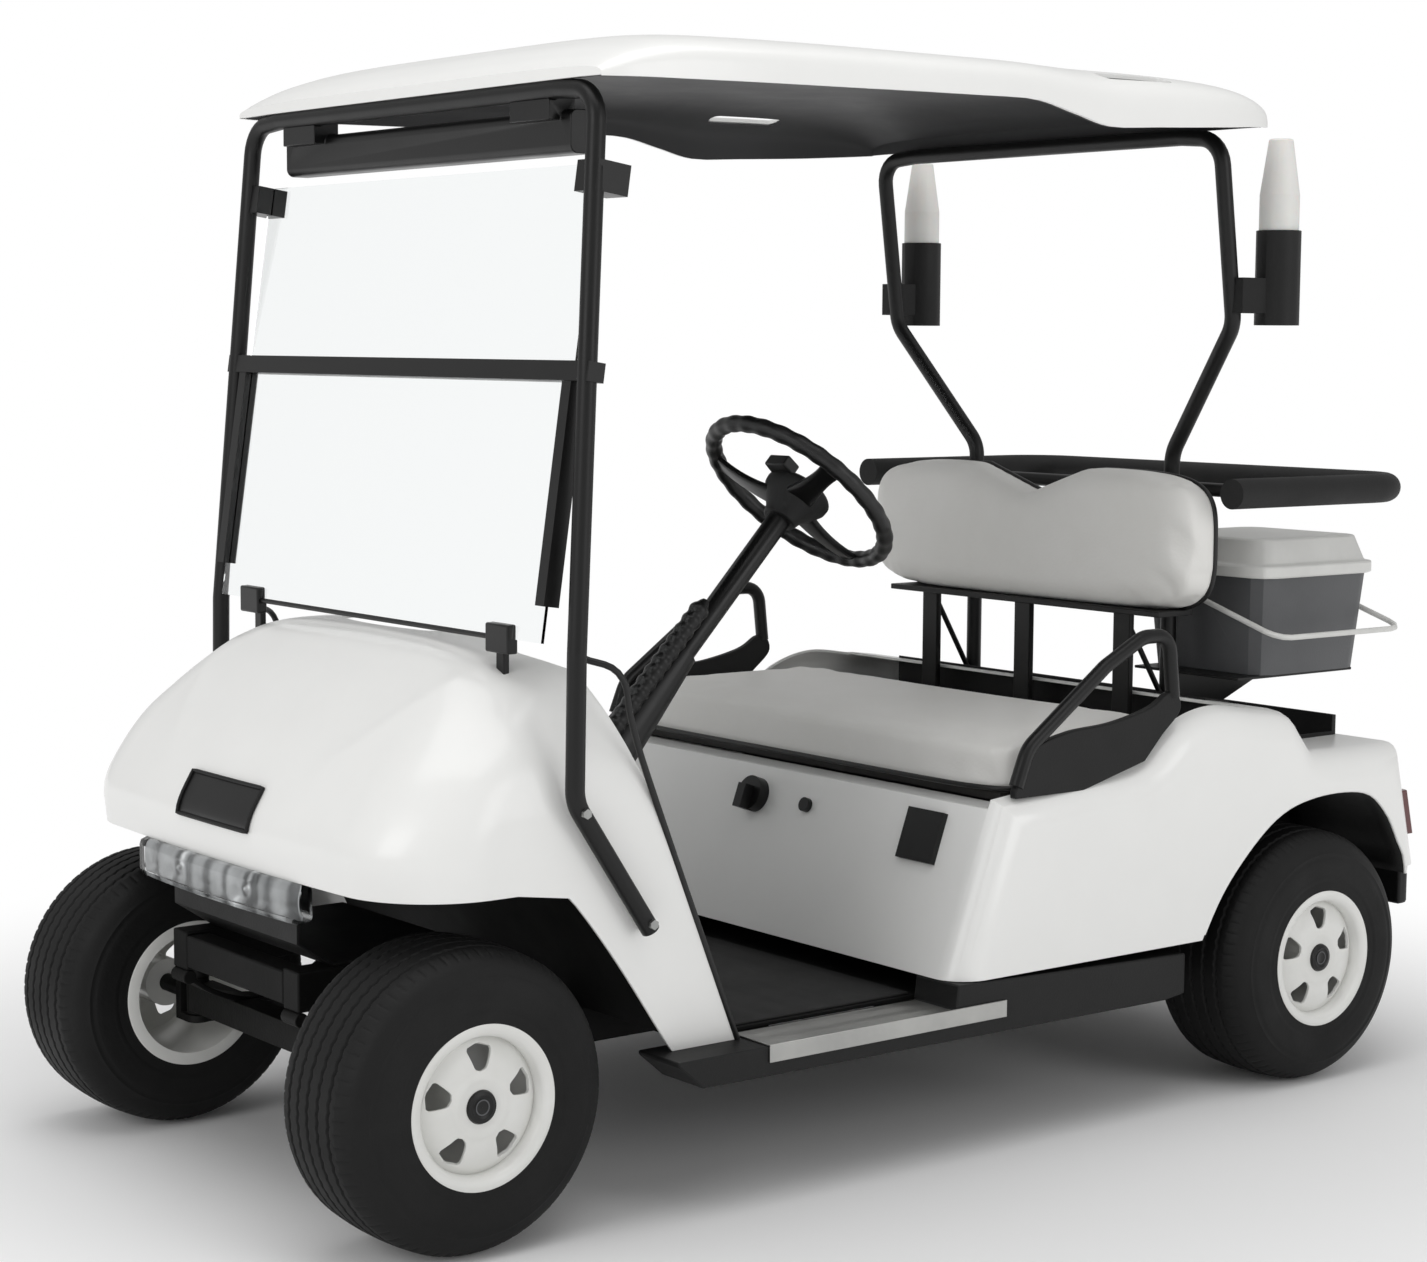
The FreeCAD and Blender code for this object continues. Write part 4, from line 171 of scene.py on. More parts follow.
# Forged and cast steel of axles and springs, black oxide with a coarse skin
axle_steel = finish("black_oxide_forged_steel", "#161615", "#0D0D0C", 0.6, 5.0, 0.4, **{"Metallic": 0.6})
# Moulded thermoplastic with a leather-like grain, as on the dash, rockers and bumper
grained_black = finish("grained_black_thermoplastic", "#131313", "#0D0D0D", 0.55, 3.0, 0.1,
                       bumps=(cells(4.0, 0.12),), **{"IOR": 1.49, "Specular IOR Level": 0.35})
# The same plastic, smooth and a little glossier
smooth_black = finish("smooth_black_thermoplastic", "#0F0F0F", "#0A0A0A", 0.36, 6.0, 0.05,
                      **{"IOR": 1.49, "Specular IOR Level": 0.4})
# Dark grey sheet just under the canopy's white moulding: painted shade of the roof's underside, not a separate
# part
roof_underside_painted_shade = finish("dark_grey_painted_roof_shade", "#3A3A3B", "#343435", 0.6, 4.0, 0.15, **{"IOR": 1.5})
# Rubber of the floor mat, with broad low ribs across the cart
mat_rubber = finish("ribbed_black_mat_rubber", "#151515", "#0D0D0D", 0.7, 4.0, 0.2,
                    bumps=(ribs("X", 56.0, 1.2),), **{"IOR": 1.52})
# Extruded aluminium of the scuff plates, satin, with lengthwise ribs
ribbed_aluminium = finish("satin_extruded_aluminium", "#BDBDBA", "#A8A8A6", 0.34, 3.0, 0.05,
                          bumps=(ribs("Y", 40.0, 0.9),), **{"Metallic": 1.0})
# Marine vinyl over foam: off-white, satin, with a pebble grain drawn at 5 mm so that it shows
seat_vinyl = finish("off_white_marine_vinyl", "#E9E8E5", "#E2E1DD", 0.46, 9.0, 0.2, blotch_mm=220.0,
                    bumps=(cells(5.0, 0.14),), **{"IOR": 1.5, "Sheen Weight": 0.1})
# Black vinyl over the welt cords round the cushions, also the rubber edges of cowl and windshield
welt_black = finish("black_vinyl_welt", "#0E0E0E", "#090909", 0.45, 3.0, 0.1, **{"IOR": 1.5})
# Plywood under the cushion, stained black and sealed
seat_board = finish("black_stained_plywood", "#1C1916", "#12100E", 0.55, 10.0, 0.2,
                    bumps=(ribs("X", 18.0, 0.1),), **{"IOR": 1.5})
# Closed-cell foam sleeve on the bag rack
foam_black = finish("closed_cell_foam_sleeve", "#0F0F0F", "#0A0A0A", 0.72, 4.0, 0.3, **{"IOR": 1.5})
# Soft moulded grip of the steering wheel's rim, with a fine pebble
grip_black = finish("soft_moulded_grip", "#0E0E0E", "#090909", 0.42, 3.0, 0.12,
                    bumps=(cells(3.0, 0.1),), **{"IOR": 1.5})
# Polyethylene of the cooler's body, mid grey with a stippled skin
cooler_grey = finish("stippled_grey_polyethylene", "#57585A", "#4C4D4F", 0.52, 3.5, 0.25, **{"IOR": 1.51})
# White polyethylene of the cooler's lid and bail
cooler_white = finish("white_polyethylene", "#D8D8D5", "#CDCDCA", 0.42, 4.0, 0.1, **{"IOR": 1.51})
# Blow-moulded bottle, milky because light gets into its wall
bottle_white = finish("milky_blow_moulded_polyethylene", "#E3E3E0", "#DADAD6", 0.45, 8.0, 0.1,
                      **{"IOR": 1.51, "Subsurface Weight": 0.15})
# Vacuum-metallised reflector behind the lamp's lens, with a slow ripple from its moulding
lamp_silver = finish("vacuum_metallised_reflector", "#C4C5C6", "#7C7D7E", 0.34, 45.0, 0.5,
                     **{"Metallic": 1.0})
# Black polypropylene of the battery cases
battery_black = finish("black_polypropylene_case", "#121213", "#0C0C0D", 0.5, 4.0, 0.1, **{"IOR": 1.49})
# Zinc-plated bolts that hold the struts
bolt_zinc = finish("zinc_plated_steel", "#A9AAA8", "#8E8F8E", 0.36, 2.0, 0.05, **{"Metallic": 1.0})
# Cast acrylic of the windshield, quite clear
clear_acrylic = clear_sheet("clear_cast_acrylic", "#FAFCFC", 0.01, 1.49)
# Polycarbonate of the headlight's lens, a little hazy
lamp_lens = clear_sheet("clear_polycarbonate_lens", "#E9EBEB", 0.16, 1.3)
# Dark red acrylic of the taillights, glossy
tail_red = finish("dark_red_acrylic_lens", "#5A0D0D", "#4A0808", 0.14, 10.0, 0.05,
                  **{"IOR": 1.49, "Coat Weight": 0.5})

MATERIAL_OF_SLOT = {
    "tyre": tyre_rubber, "wheel_white": wheel_white, "chassis_black": chassis_black, "axle_steel": axle_steel,
    "body_white": body_white, "trim_black": grained_black, "mat_rubber": mat_rubber,
    "scuff_aluminium": ribbed_aluminium, "lamp_clear": lamp_lens, "taillight_red": tail_red,
    "battery_plastic": battery_black, "seat_vinyl": seat_vinyl, "seat_wood": seat_board,
    "frame_black": tube_black, "window_clear": clear_acrylic, "wheel_grip": grip_black,
    "rack_pad": foam_black, "cooler_grey": cooler_grey, "cooler_white": cooler_white,
    "bottle_white": bottle_white}


# Meshes

MERGE_MM = 0.01
THIN_AREA = 1e-12
ROOM_SHARE = 0.48


@contextmanager
def opened(mesh):
    """A mesh as a bmesh, written back when the work on it is done."""
    work = bmesh.new()
    work.from_mesh(mesh)
    yield work
    work.to_mesh(mesh)
    work.free()


def shade(mesh, sharp):
    """Smooth shading that breaks at edges sharper than an angle in degrees."""
    mesh.shade_smooth()
    mesh.set_sharp_from_angle(angle=math.radians(sharp))


def settle(name, mesh, body, material, slot, sharp=40.0, replaces=()):
    """Merges a mesh's doubles, shades it, and rides it on its body in its finish."""
    with opened(mesh) as work:
        bmesh.ops.remove_doubles(work, verts=work.verts, dist=MERGE_MM * MM)
        thin = [face for face in work.faces if face.calc_area() < THIN_AREA]
        bmesh.ops.delete(work, geom=thin, context="FACES")
    mesh.validate()
    shade(mesh, sharp)
    piece = bpy.data.objects.new(name, mesh)
    bpy.context.collection.objects.link(piece)
    mesh.materials.append(material)
    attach(piece, body)
    if replaces:
        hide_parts(*replaces)
    return piece


def mesh_mm(name, points, faces):
    """A mesh from points in millimetres and its faces."""
    mesh = bpy.data.meshes.new(name)
    mesh.from_pydata((np.asarray(points, float).reshape(-1, 3) * MM).tolist(), [], faces)
    return mesh


def grid_faces(rows, columns, close_rows=False, close_columns=False, keep=None):
    """Quads between neighbouring points of a grid, for those cells that are kept."""
    i = np.arange(rows if close_rows else rows - 1)[:, None]
    j = np.arange(columns if close_columns else columns - 1)[None, :]
    i_next, j_next = (i + 1) % rows, (j + 1) % columns
    quads = np.stack(np.broadcast_arrays(
        i * columns + j, i * columns + j_next, i_next * columns + j_next, i_next * columns + j), axis=-1)
    if keep is not None:
        quads = quads[keep]
    return quads.reshape(-1, 4).tolist()


def block_faces(rows, columns):
    """Quads between closed rings, with one flat face over the first ring and one over the last."""
    last = (rows - 1) * columns
    return grid_faces(rows, columns, close_columns=True) + [
        list(range(columns))[::-1], list(range(last, last + columns))]


def joined(parts):
    """The points and faces of several grids, each given with faces of its own, as one."""
    points, faces = [], []
    for grid, own in parts:
        faces += [[len(points) + k for k in face] for face in own]
        points += grid.reshape(-1, 3).tolist()
    return points, faces


def sheet(name, points, body, material, slot, keep=None, close_columns=False, **more):
    """An open surface through a grid of points."""
    faces = grid_faces(*points.shape[:2], close_columns=close_columns, keep=keep)
    return settle(name, mesh_mm(name, points, faces), body, material, slot, **more)


def block(name, rings, body, material, slot, **more):
    """A closed form through rings of points, with flat ends."""
    return settle(name, mesh_mm(name, rings, block_faces(*rings.shape[:2])), body, material, slot, **more)


def hoop(name, rings, body, material, slot, **more):
    """A closed form through rings of points, whose last ring joins its first."""
    faces = grid_faces(*rings.shape[:2], close_rows=True, close_columns=True)
    return settle(name, mesh_mm(name, rings, faces), body, material, slot, **more)


def thicken(piece, wall_mm, offset=-1.0):
    """Gives a sheet its wall, inwards unless the offset says otherwise."""
    wall = piece.modifiers.new("wall", "SOLIDIFY")
    wall.thickness = wall_mm * MM
    wall.offset = offset
    wall.use_even_offset = True


def soften(piece, width_mm, segments=2, angle=35.0):
    """Rounds a piece's edges that are sharper than an angle in degrees."""
    edge = piece.modifiers.new("edge", "BEVEL")
    edge.width = width_mm * MM
    edge.segments = segments
    edge.limit_method = "ANGLE"
    edge.angle_limit = math.radians(angle)


def bake(piece):
    """Turns a piece's modifiers into its mesh."""
    graph = bpy.context.evaluated_depsgraph_get()
    fresh = bpy.data.meshes.new_from_object(piece.evaluated_get(graph), depsgraph=graph)
    old = piece.data
    piece.modifiers.clear()
    piece.data = fresh
    bpy.data.meshes.remove(old)


def face_out(mesh):
    """Turns all faces of a closed mesh outwards."""
    with opened(mesh) as work:
        bmesh.ops.recalc_face_normals(work, faces=work.faces)


def face_up(mesh):
    """Turns an open sheet's faces so that its highest one looks up."""
    with opened(mesh) as work:
        bmesh.ops.recalc_face_normals(work, faces=work.faces)
        top = max(work.faces, key=lambda face: face.calc_center_median().z)
        if top.normal.z < 0:
            bmesh.ops.reverse_faces(work, faces=work.faces)


def cutter(rings):
    """A closed block through rings of points, that only cuts."""
    mesh = mesh_mm("cutter", rings, block_faces(*rings.shape[:2]))
    face_out(mesh)
    space = bpy.data.objects.new("cutter", mesh)
    bpy.context.collection.objects.link(space)
    space.hide_render = True
    return space


def cut_by(piece, spaces, sharp):
    """Cuts spaces, each given as rings of points, out of a piece, and shades what is left."""
    cutters = [cutter(rings) for rings in spaces]
    for space in cutters:
        step = piece.modifiers.new("cut", "BOOLEAN")
        step.object = space
        step.solver = "EXACT"
    bake(piece)
    for space in cutters:
        mesh = space.data
        bpy.data.objects.remove(space)
        bpy.data.meshes.remove(mesh)
    shade(piece.data, sharp)


def corners(x, y, z):
    """The eight corners of a box as two rings, one at each height."""
    ring = [(x[0], y[0]), (x[1], y[0]), (x[1], y[1]), (x[0], y[1])]
    return np.array([[(px, py, level) for px, py in ring] for level in z], float)


def across(outline, places):
    """An outline of X and Z, repeated as a ring at each place along Y."""
    outline = np.asarray(outline, float)
    return np.stack([np.stack([outline[:, 0], np.full(len(outline), y), outline[:, 1]], axis=1)
                     for y in places])


def smooth(points, count):
    """A Catmull-Rom curve, a cubic in t between each two points, at even steps of the chord's length."""
    points = np.asarray(points, float)
    padded = np.vstack([2 * points[0] - points[1], points, 2 * points[-1] - points[-2]])
    steps = np.concatenate([[0], np.cumsum(np.linalg.norm(np.diff(points, axis=0), axis=1))])
    at = np.linspace(0, steps[-1], count)
    span = np.clip(np.searchsorted(steps, at, side="right") - 1, 0, len(points) - 2)
    t = ((at - steps[span]) / (steps[span + 1] - steps[span]))[:, None]
    a, b, c, d = padded[span], padded[span + 1], padded[span + 2], padded[span + 3]
    square, cube = 2 * a - 5 * b + 4 * c - d, 3 * b - a - 3 * c + d
    return 0.5 * (2 * b + (c - a) * t + square * t ** 2 + cube * t ** 3)


def unit(vector):
    """v / |v|, row by row."""
    return vector / np.linalg.norm(vector, axis=-1, keepdims=True)


def rounded(angle, bend):
    """A circle bent towards a square by a power below one: sign(cos) |cos|^bend and sign(sin) |sin|^bend."""
    c, s = np.cos(angle), np.sin(angle)
    return np.sign(c) * np.abs(c) ** bend, np.sign(s) * np.abs(s) ** bend


def circle(count):
    """Even angles once round."""
    return np.linspace(0, 2 * np.pi, count, endpoint=False)


def bent(route, bend, arc_steps=8):
    """A route whose corners are arcs: (sin((1-u)w) start + sin(uw) end) / sin w about each arc's centre."""
    route = np.asarray(route, float)
    path = [route[0]]
    for before, corner, after in zip(route, route[1:], route[2:]):
        inward, outward = unit(before - corner), unit(after - corner)
        half = math.acos(float(np.clip(inward @ outward, -1, 1))) / 2
        room = ROOM_SHARE * min(np.linalg.norm(before - corner), np.linalg.norm(after - corner))
        reach = min(bend / math.tan(half), room)
        centre = corner + unit(inward + outward) * reach / math.cos(half)
        start, end = corner + inward * reach - centre, corner + outward * reach - centre
        sweep = math.pi - 2 * half
        share = np.linspace(0, 1, arc_steps)[:, None]
        arc = (np.sin((1 - share) * sweep) * start + np.sin(share * sweep) * end) / math.sin(sweep)
        path += list(centre + arc)
    return np.array(path + [route[-1]])


def carried(path, radius, sides=20, closed=False, first=(0.0, 0.0, 1.0)):
    """Circles of one or of changing radius carried along a path, turning as little as they can."""
    if closed:
        along = unit(np.roll(path, -1, 0) - np.roll(path, 1, 0))
    else:
        along = unit(np.gradient(path, axis=0))
    side = np.array(first)
    if abs(along[0] @ side) > 0.9:
        side = np.array([0.0, 1.0, 0.0])
    turn = circle(sides)[:, None]
    rings = []
    for spot, ahead, size in zip(path, along, np.broadcast_to(np.asarray(radius, float), (len(path),))):
        side = unit(side - ahead * (side @ ahead))
        rings.append(spot + size * (np.cos(turn) * side + np.sin(turn) * np.cross(ahead, side)))
    return np.array(rings)


def rod(name, route, radius, body, material, slot, bend=60.0, sides=20, **more):
    """A round bar or tube along a route, closed at its ends."""
    return block(name, carried(bent(route, bend), radius, sides), body, material, slot, **more)


def small_block(name, rings, body, material, slot, edge=3.0, segments=3):
    """A closed form through rings of points, with its faces out and its edges rounded."""
    piece = block(name, rings, body, material, slot)
    face_out(piece.data)
    soften(piece, edge, segments)


def turned(profile, centre, steps, outward):
    """A profile of places along the axle and radii, turned about an axle along Y."""
    profile = np.asarray(profile, float)
    angle = circle(steps)[:, None]
    along, radius = profile[:, 0][None, :], profile[:, 1][None, :]
    x = centre[0] + radius * np.sin(angle) * outward
    y = centre[1] + along * outward + 0 * angle
    z = centre[2] + radius * np.cos(angle)
    return np.stack([x, y, z], axis=-1)


def box_mm(node):
    """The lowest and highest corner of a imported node, in millimetres."""
    low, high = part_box(node)
    return np.array(low) / MM, np.array(high) / MM


def dressed(node, material=None, edge_mm=0.0, sharp=30.0, name=None, above_mm=0.0):
    """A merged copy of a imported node, from a height up, with smooth shading, softened edges and its finish."""
    source = frame["nodes"][node]
    mesh = source.data.copy()
    mesh.transform(source.matrix_world)
    mesh.materials.clear()
    slot = SLOT_OF[node]
    piece = settle(name or f"{node}_finished", mesh, BODY_OF[node], material or MATERIAL_OF_SLOT[slot], slot,
                   sharp, (node,))
    with opened(piece.data) as work:
        flat = [edge for edge in work.edges
                if len(edge.link_faces) == 2 and edge.calc_face_angle() < math.radians(0.5)]
        bmesh.ops.dissolve_edges(work, edges=flat, use_verts=True)
        lower = [vert for vert in work.verts if vert.co.z < above_mm * MM]
        bmesh.ops.delete(work, geom=lower, context="VERTS")
    shade(piece.data, sharp)
    if edge_mm:
        soften(piece, edge_mm)


# Wheels and tyres

TYRE_LOW, TYRE_HIGH = box_mm("tyre_rear_left")
AXLE_Z = (TYRE_LOW[2] + TYRE_HIGH[2]) / 2
TYRE_RADIUS = (TYRE_HIGH[2] - TYRE_LOW[2]) / 2
TYRE_HALF = 104.0
# Half width and radius of the sidewall's line, from bead to shoulder
SIDEWALL = [(100.0, 101.0), (101.0, 112.0), (103.0, 130.0), (TYRE_HALF, 150.0), (103.6, 168.0), (100.0, 184.0),
            (91.0, 200.0), (78.0, 210.5), (66.0, 215.6)]
# Radius and height of the rings that stand out of the sidewall or are sunk into it
SIDEWALL_RINGS = [(118.0, 1.2), (133.0, -1.4), (137.0, 1.0), (176.0, -1.2), (181.0, 0.8)]
SIDEWALL_RING_WIDTH = 2.2
CROWN_RADIUS, CROWN_DROP, CROWN_HALF = 219.0, 3.4, 66.0
GROOVE_PLACES = (-52.0, -26.0, 0.0, 26.0, 52.0)
GROOVE_DEPTH, GROOVE_WIDTH, GROOVE_SWING, GROOVE_FOOT = 4.5, 2.4, 1.5, 208.0
LUG_COUNT, LUG_STEPS = 72, 6
SLOT_IN, SLOT_OUT, SLOT_FOOT = (62.0, 4.0), (88.0, 8.0), 200.0
SLOT_EDGE_SHARE, SLOT_DEPTH_SHARE = 0.42, 0.35


def tyre_profile():
    """A sidewall with rings exp(-((r - ring) / w)^2), then a tread r = R - d (y / h)^2, and its mirror."""
    wall = smooth(SIDEWALL, 40)
    swell = sum(height * np.exp(-((wall[:, 1] - place) / SIDEWALL_RING_WIDTH) ** 2)
                for place, height in SIDEWALL_RINGS)
    wall[:, 0] = np.minimum(wall[:, 0] + swell, TYRE_HALF)
    y = np.linspace(CROWN_HALF - 1, 0.0, 44)
    side = np.vstack([wall, np.stack([y, CROWN_RADIUS - CROWN_DROP * (y / CROWN_HALF) ** 2], axis=1)])
    return np.vstack([side, side[::-1][1:] * [-1, 1]])[::-1]


def tyre(name, centre, outward, body, node):
    """The turned profile less its grooves exp(-((y - place - zigzag) / w)^4) and the shoulders' slots."""
    profile = tyre_profile()
    points = turned(profile, centre, LUG_COUNT * LUG_STEPS, outward)
    along, radius = profile[:, 0], profile[:, 1]
    turn = np.arange(LUG_COUNT * LUG_STEPS)[:, None] / LUG_STEPS
    zigzag = GROOVE_SWING * (2 * np.abs((turn % 1) * 2 - 1) - 1)
    grooves = sum(np.exp(-((along - place - zigzag) / GROOVE_WIDTH) ** 4) for place in GROOVE_PLACES)
    shoulder = (np.clip((np.abs(along) - SLOT_IN[0]) / SLOT_IN[1], 0, 1)
                * np.clip((SLOT_OUT[0] - np.abs(along)) / SLOT_OUT[1], 0, 1) * (radius > SLOT_FOOT))
    slots = (np.abs((turn + 0.5 * (along > 0)) % 1 - 0.5) > SLOT_EDGE_SHARE) * shoulder * SLOT_DEPTH_SHARE
    depth = GROOVE_DEPTH * np.maximum(grooves * (radius > GROOVE_FOOT), slots)
    for axis in (0, 2):
        points[..., axis] = centre[axis] + (points[..., axis] - centre[axis]) * (radius - depth) / radius
    hoop(name, points, body, tyre_rubber, "tyre", sharp=28.0, replaces=(node,))


WINDOWS, SECTOR, OPEN_COLUMNS = 5, 36, 12
DISC_LOW, DISC_HIGH, DISC_WALL = 22.0, 97.5, 5.0
WINDOW_LOW, WINDOW_HIGH = 50.0, 86.0
WINDOW_HALF, WINDOW_SPREAD, WINDOW_POWER = 8.0, 14.5, 7
FACE_Y, FACE_FALL, FACE_FLAT = 90.0, 16.0, 56.0
BEAD_HEIGHT, BEAD_RADIUS, BEAD_WIDTH = 1.5, 40.0, 5.0


def wheel_face(name, centre, outward, body):
    """A disc y = Y - fall t^2 with open windows of half width (a + b s) sqrt(1 - |2 s - 1|^7)."""
    radius = np.concatenate([
        np.linspace(DISC_LOW, WINDOW_LOW, 10), np.linspace(WINDOW_LOW, WINDOW_HIGH, 13)[1:],
        np.linspace(WINDOW_HIGH, DISC_HIGH, 5)[1:]])[:, None]
    t = np.clip((radius - FACE_FLAT) / (DISC_HIGH - FACE_FLAT), 0, 1)
    height = FACE_Y - FACE_FALL * t ** 2 + BEAD_HEIGHT * np.exp(-((radius - BEAD_RADIUS) / BEAD_WIDTH) ** 2)
    share = np.clip((radius - WINDOW_LOW) / (WINDOW_HIGH - WINDOW_LOW), 0, 1)
    round_end = np.sqrt(np.clip(1 - np.abs(2 * share - 1) ** WINDOW_POWER, 0.02, 1))
    half_angle = (WINDOW_HALF + WINDOW_SPREAD * share) * round_end / radius
    column = np.arange(SECTOR)
    full = 2 * np.pi / WINDOWS
    spoke_share = (column - OPEN_COLUMNS) / (SECTOR - OPEN_COLUMNS)
    angle = np.where(column <= OPEN_COLUMNS, (column / OPEN_COLUMNS * 2 - 1) * half_angle,
                     half_angle + spoke_share * (full - 2 * half_angle))
    angle = np.concatenate([angle + full * k for k in range(WINDOWS)], axis=1)
    points = np.stack(np.broadcast_arrays(
        centre[0] + radius * np.sin(angle) * outward, centre[1] + height * outward,
        centre[2] + radius * np.cos(angle)), axis=-1)
    in_window = (radius[:-1, 0] >= WINDOW_LOW - 0.1) & (radius[1:, 0] <= WINDOW_HIGH + 0.1)
    keep = ~(in_window[:, None] & np.tile(column < OPEN_COLUMNS, WINDOWS))
    piece = sheet(name, points, body, wheel_white, "wheel_white", keep, close_columns=True, sharp=50.0)
    thicken(piece, DISC_WALL)
    soften(piece, 1.2)


# Places along the axle and radii of what is turned about it
RIM_PROFILE = [
    (-104, 98), (-104, 115), (-103, 117), (-101.5, 117), (-100.6, 115.5), (-100.5, 103), (-99, 101),
    (-60, 100.6), (-40, 97), (40, 97), (60, 100.6), (99, 100.8), (100.6, 103), (100.6, 115.5), (101.5, 117.2),
    (103.4, 117), (104.2, 115), (103, 104), (98, 99), (84, 97), (60, 96.5), (40, 93.6), (-40, 93.6),
    (-60, 96.5), (-98, 97)]
HUB_PROFILE = [(-9, 14.5), (-9, 39), (FACE_Y - 8, 39), (FACE_Y - 4, 36), (FACE_Y - 4, 14.5)]
CAP_PROFILE = [
    (FACE_Y - 3, 24.5), (FACE_Y + 5, 24.2), (FACE_Y + 9, 22.5), (FACE_Y + 10.5, 17), (FACE_Y + 9, 15),
    (FACE_Y + 8.4, 0.4), (FACE_Y - 3, 0.4)]
CAP_RING_PROFILE = [(FACE_Y + 7.8, 11.4), (FACE_Y + 7.8, 9.6), (FACE_Y + 9.4, 9.6), (FACE_Y + 9.4, 11.4)]


def wheel(end, word, centre, outward):
    """Tyre, rim, disc, hub and cap of one wheel, all but the disc as profiles turned about the axle."""
    body, node = f"{end}_wheel_{word}", f"wheel_{end}_{word}"
    tyre(f"tyre_{end}_{word}_ribbed", centre, outward, body, f"tyre_{end}_{word}")
    hoop(f"{node}_rim", turned(RIM_PROFILE[::-1], centre, 128, outward), body, wheel_white, "wheel_white",
         sharp=60.0, replaces=(node,))
    wheel_face(f"{node}_disc", centre, outward, body)
    for part, profile, steps, material in (
            ("hub", HUB_PROFILE, 64, wheel_white), ("cap", CAP_PROFILE, 64, smooth_black),
            ("cap_ring", CAP_RING_PROFILE, 48, cooler_grey)):
        hoop(f"{node}_{part}", turned(profile[::-1], centre, steps, outward), body, material, "wheel_white")


def make_wheels():
    """Four wheels, each about the middle of its tyre's box."""
    for end in ("front", "rear"):
        for word, side in SIDES:
            low, high = box_mm(f"tyre_{end}_{word}")
            wheel(end, word, (low + high) / 2, side)


# Front cowl

WALL = 5.0
COWL_FRONT, COWL_REAR, COWL_HALF = 1036.0, 400.0, 500.0
LIP_Z, TOP_Z, FOOT_Z = 500.0, 834.0, 240.6
CORNER, BOW = 150.0, 10.0
# Height, reach and half width of the hood, from its lip to its top
LEVEL_SHARES = [
    (0.0, 0.994, 1.000), (0.18, 1.000, 0.998), (0.335, 0.962, 0.990), (0.503, 0.901, 0.962),
    (0.630, 0.836, 0.915), (0.754, 0.767, 0.850), (0.868, 0.697, 0.760), (0.952, 0.638, 0.600),
    (1.0, 0.560, 0.300)]
# Height and place of the leg's rear edge; place and height of its front edge, along the wheel arch
LEG_REAR = [(FOOT_Z, 441.0), (676.0, 618.0), (793.0, 653.0), (TOP_Z, 748.0)]
ARCH_EDGE = [(561.0, FOOT_Z), (660.0, 385.0), (735.0, 480.0), (760.0, 494.0), (790.0, 499.0), (827.0, LIP_Z)]
LEG_SPLIT_SHARE = 290.0 / 335.0
HOOD_ROWS, LEG_ROWS = 80, 22
LEG_COLUMNS, SIDE_COLUMNS, CORNER_COLUMNS, BOW_COLUMNS = 14, 10, 44, 40
# The fold between hood and fender, from the nose to the windshield's foot on the left side
CREASE = [(986.0, 214.0, 646.0), (975.3, 225.8, 659.5), (927.4, 272.1, 707.7), (893.3, 298.2, 738.1),
          (860.9, 320.0, 762.2), (809.6, 328.7, 792.1)]
CREASE_LIFT, CREASE_WIDTH, CREASE_ROUND = 5.0, 26.0, 3.0
EDGE_RUBBER_RADIUS, EDGE_RUBBER_TOP = 5.0, (700.0, 470.0, 822.0)


def leg_rear_x(z):
    """The leg's rear edge at a height, on straight lines between the listed points."""
    return np.interp(z, *np.array(LEG_REAR).T)


def hood_row(z, ahead, wide):
    """Half an outline of the nose at one height: side, quarter round, and bow x = front - b (y / y0)^2."""
    half = COWL_HALF * wide
    front = COWL_REAR + (COWL_FRONT - COWL_REAR) * ahead
    corner = CORNER * wide
    start = front - BOW - corner
    rear = min(leg_rear_x(z), start - 4)
    split = rear + (start - rear) * LEG_SPLIT_SHARE
    side_x = np.concatenate([
        np.linspace(rear, split, LEG_COLUMNS), np.linspace(split, start, SIDE_COLUMNS)[1:]])
    angle = np.linspace(0, np.pi / 2, CORNER_COLUMNS)[1:]
    share = np.linspace(1, 0, BOW_COLUMNS)[1:]
    x = np.concatenate([side_x, start + corner * np.sin(angle), front - BOW * share ** 2])
    y = np.concatenate([
        np.full(len(side_x), half), half - corner + corner * np.cos(angle), (half - corner) * share])
    return np.stack([x, y, np.full(len(x), z)], axis=1)


def creased(hood):
    """Lifts the hood along its normals by CREASE_LIFT exp(-d / CREASE_WIDTH), d being the way to the fold."""
    line = smooth(CREASE, 70)
    strength = np.sin(np.linspace(0, np.pi, 70)) ** 0.5
    normal = unit(np.cross(np.gradient(hood, axis=0), np.gradient(hood, axis=1)) + 1e-9)
    lift = np.zeros(hood.shape[:2])
    for mirror in (1, MIRROR):
        apart = np.linalg.norm(hood[:, :, None, :] - line * mirror, axis=-1)
        fall = np.exp(-np.sqrt(apart ** 2 + CREASE_ROUND ** 2) / CREASE_WIDTH)
        lift = np.maximum(lift, np.max(strength * fall, axis=2))
    return hood + normal * (CREASE_LIFT * lift)[..., None]


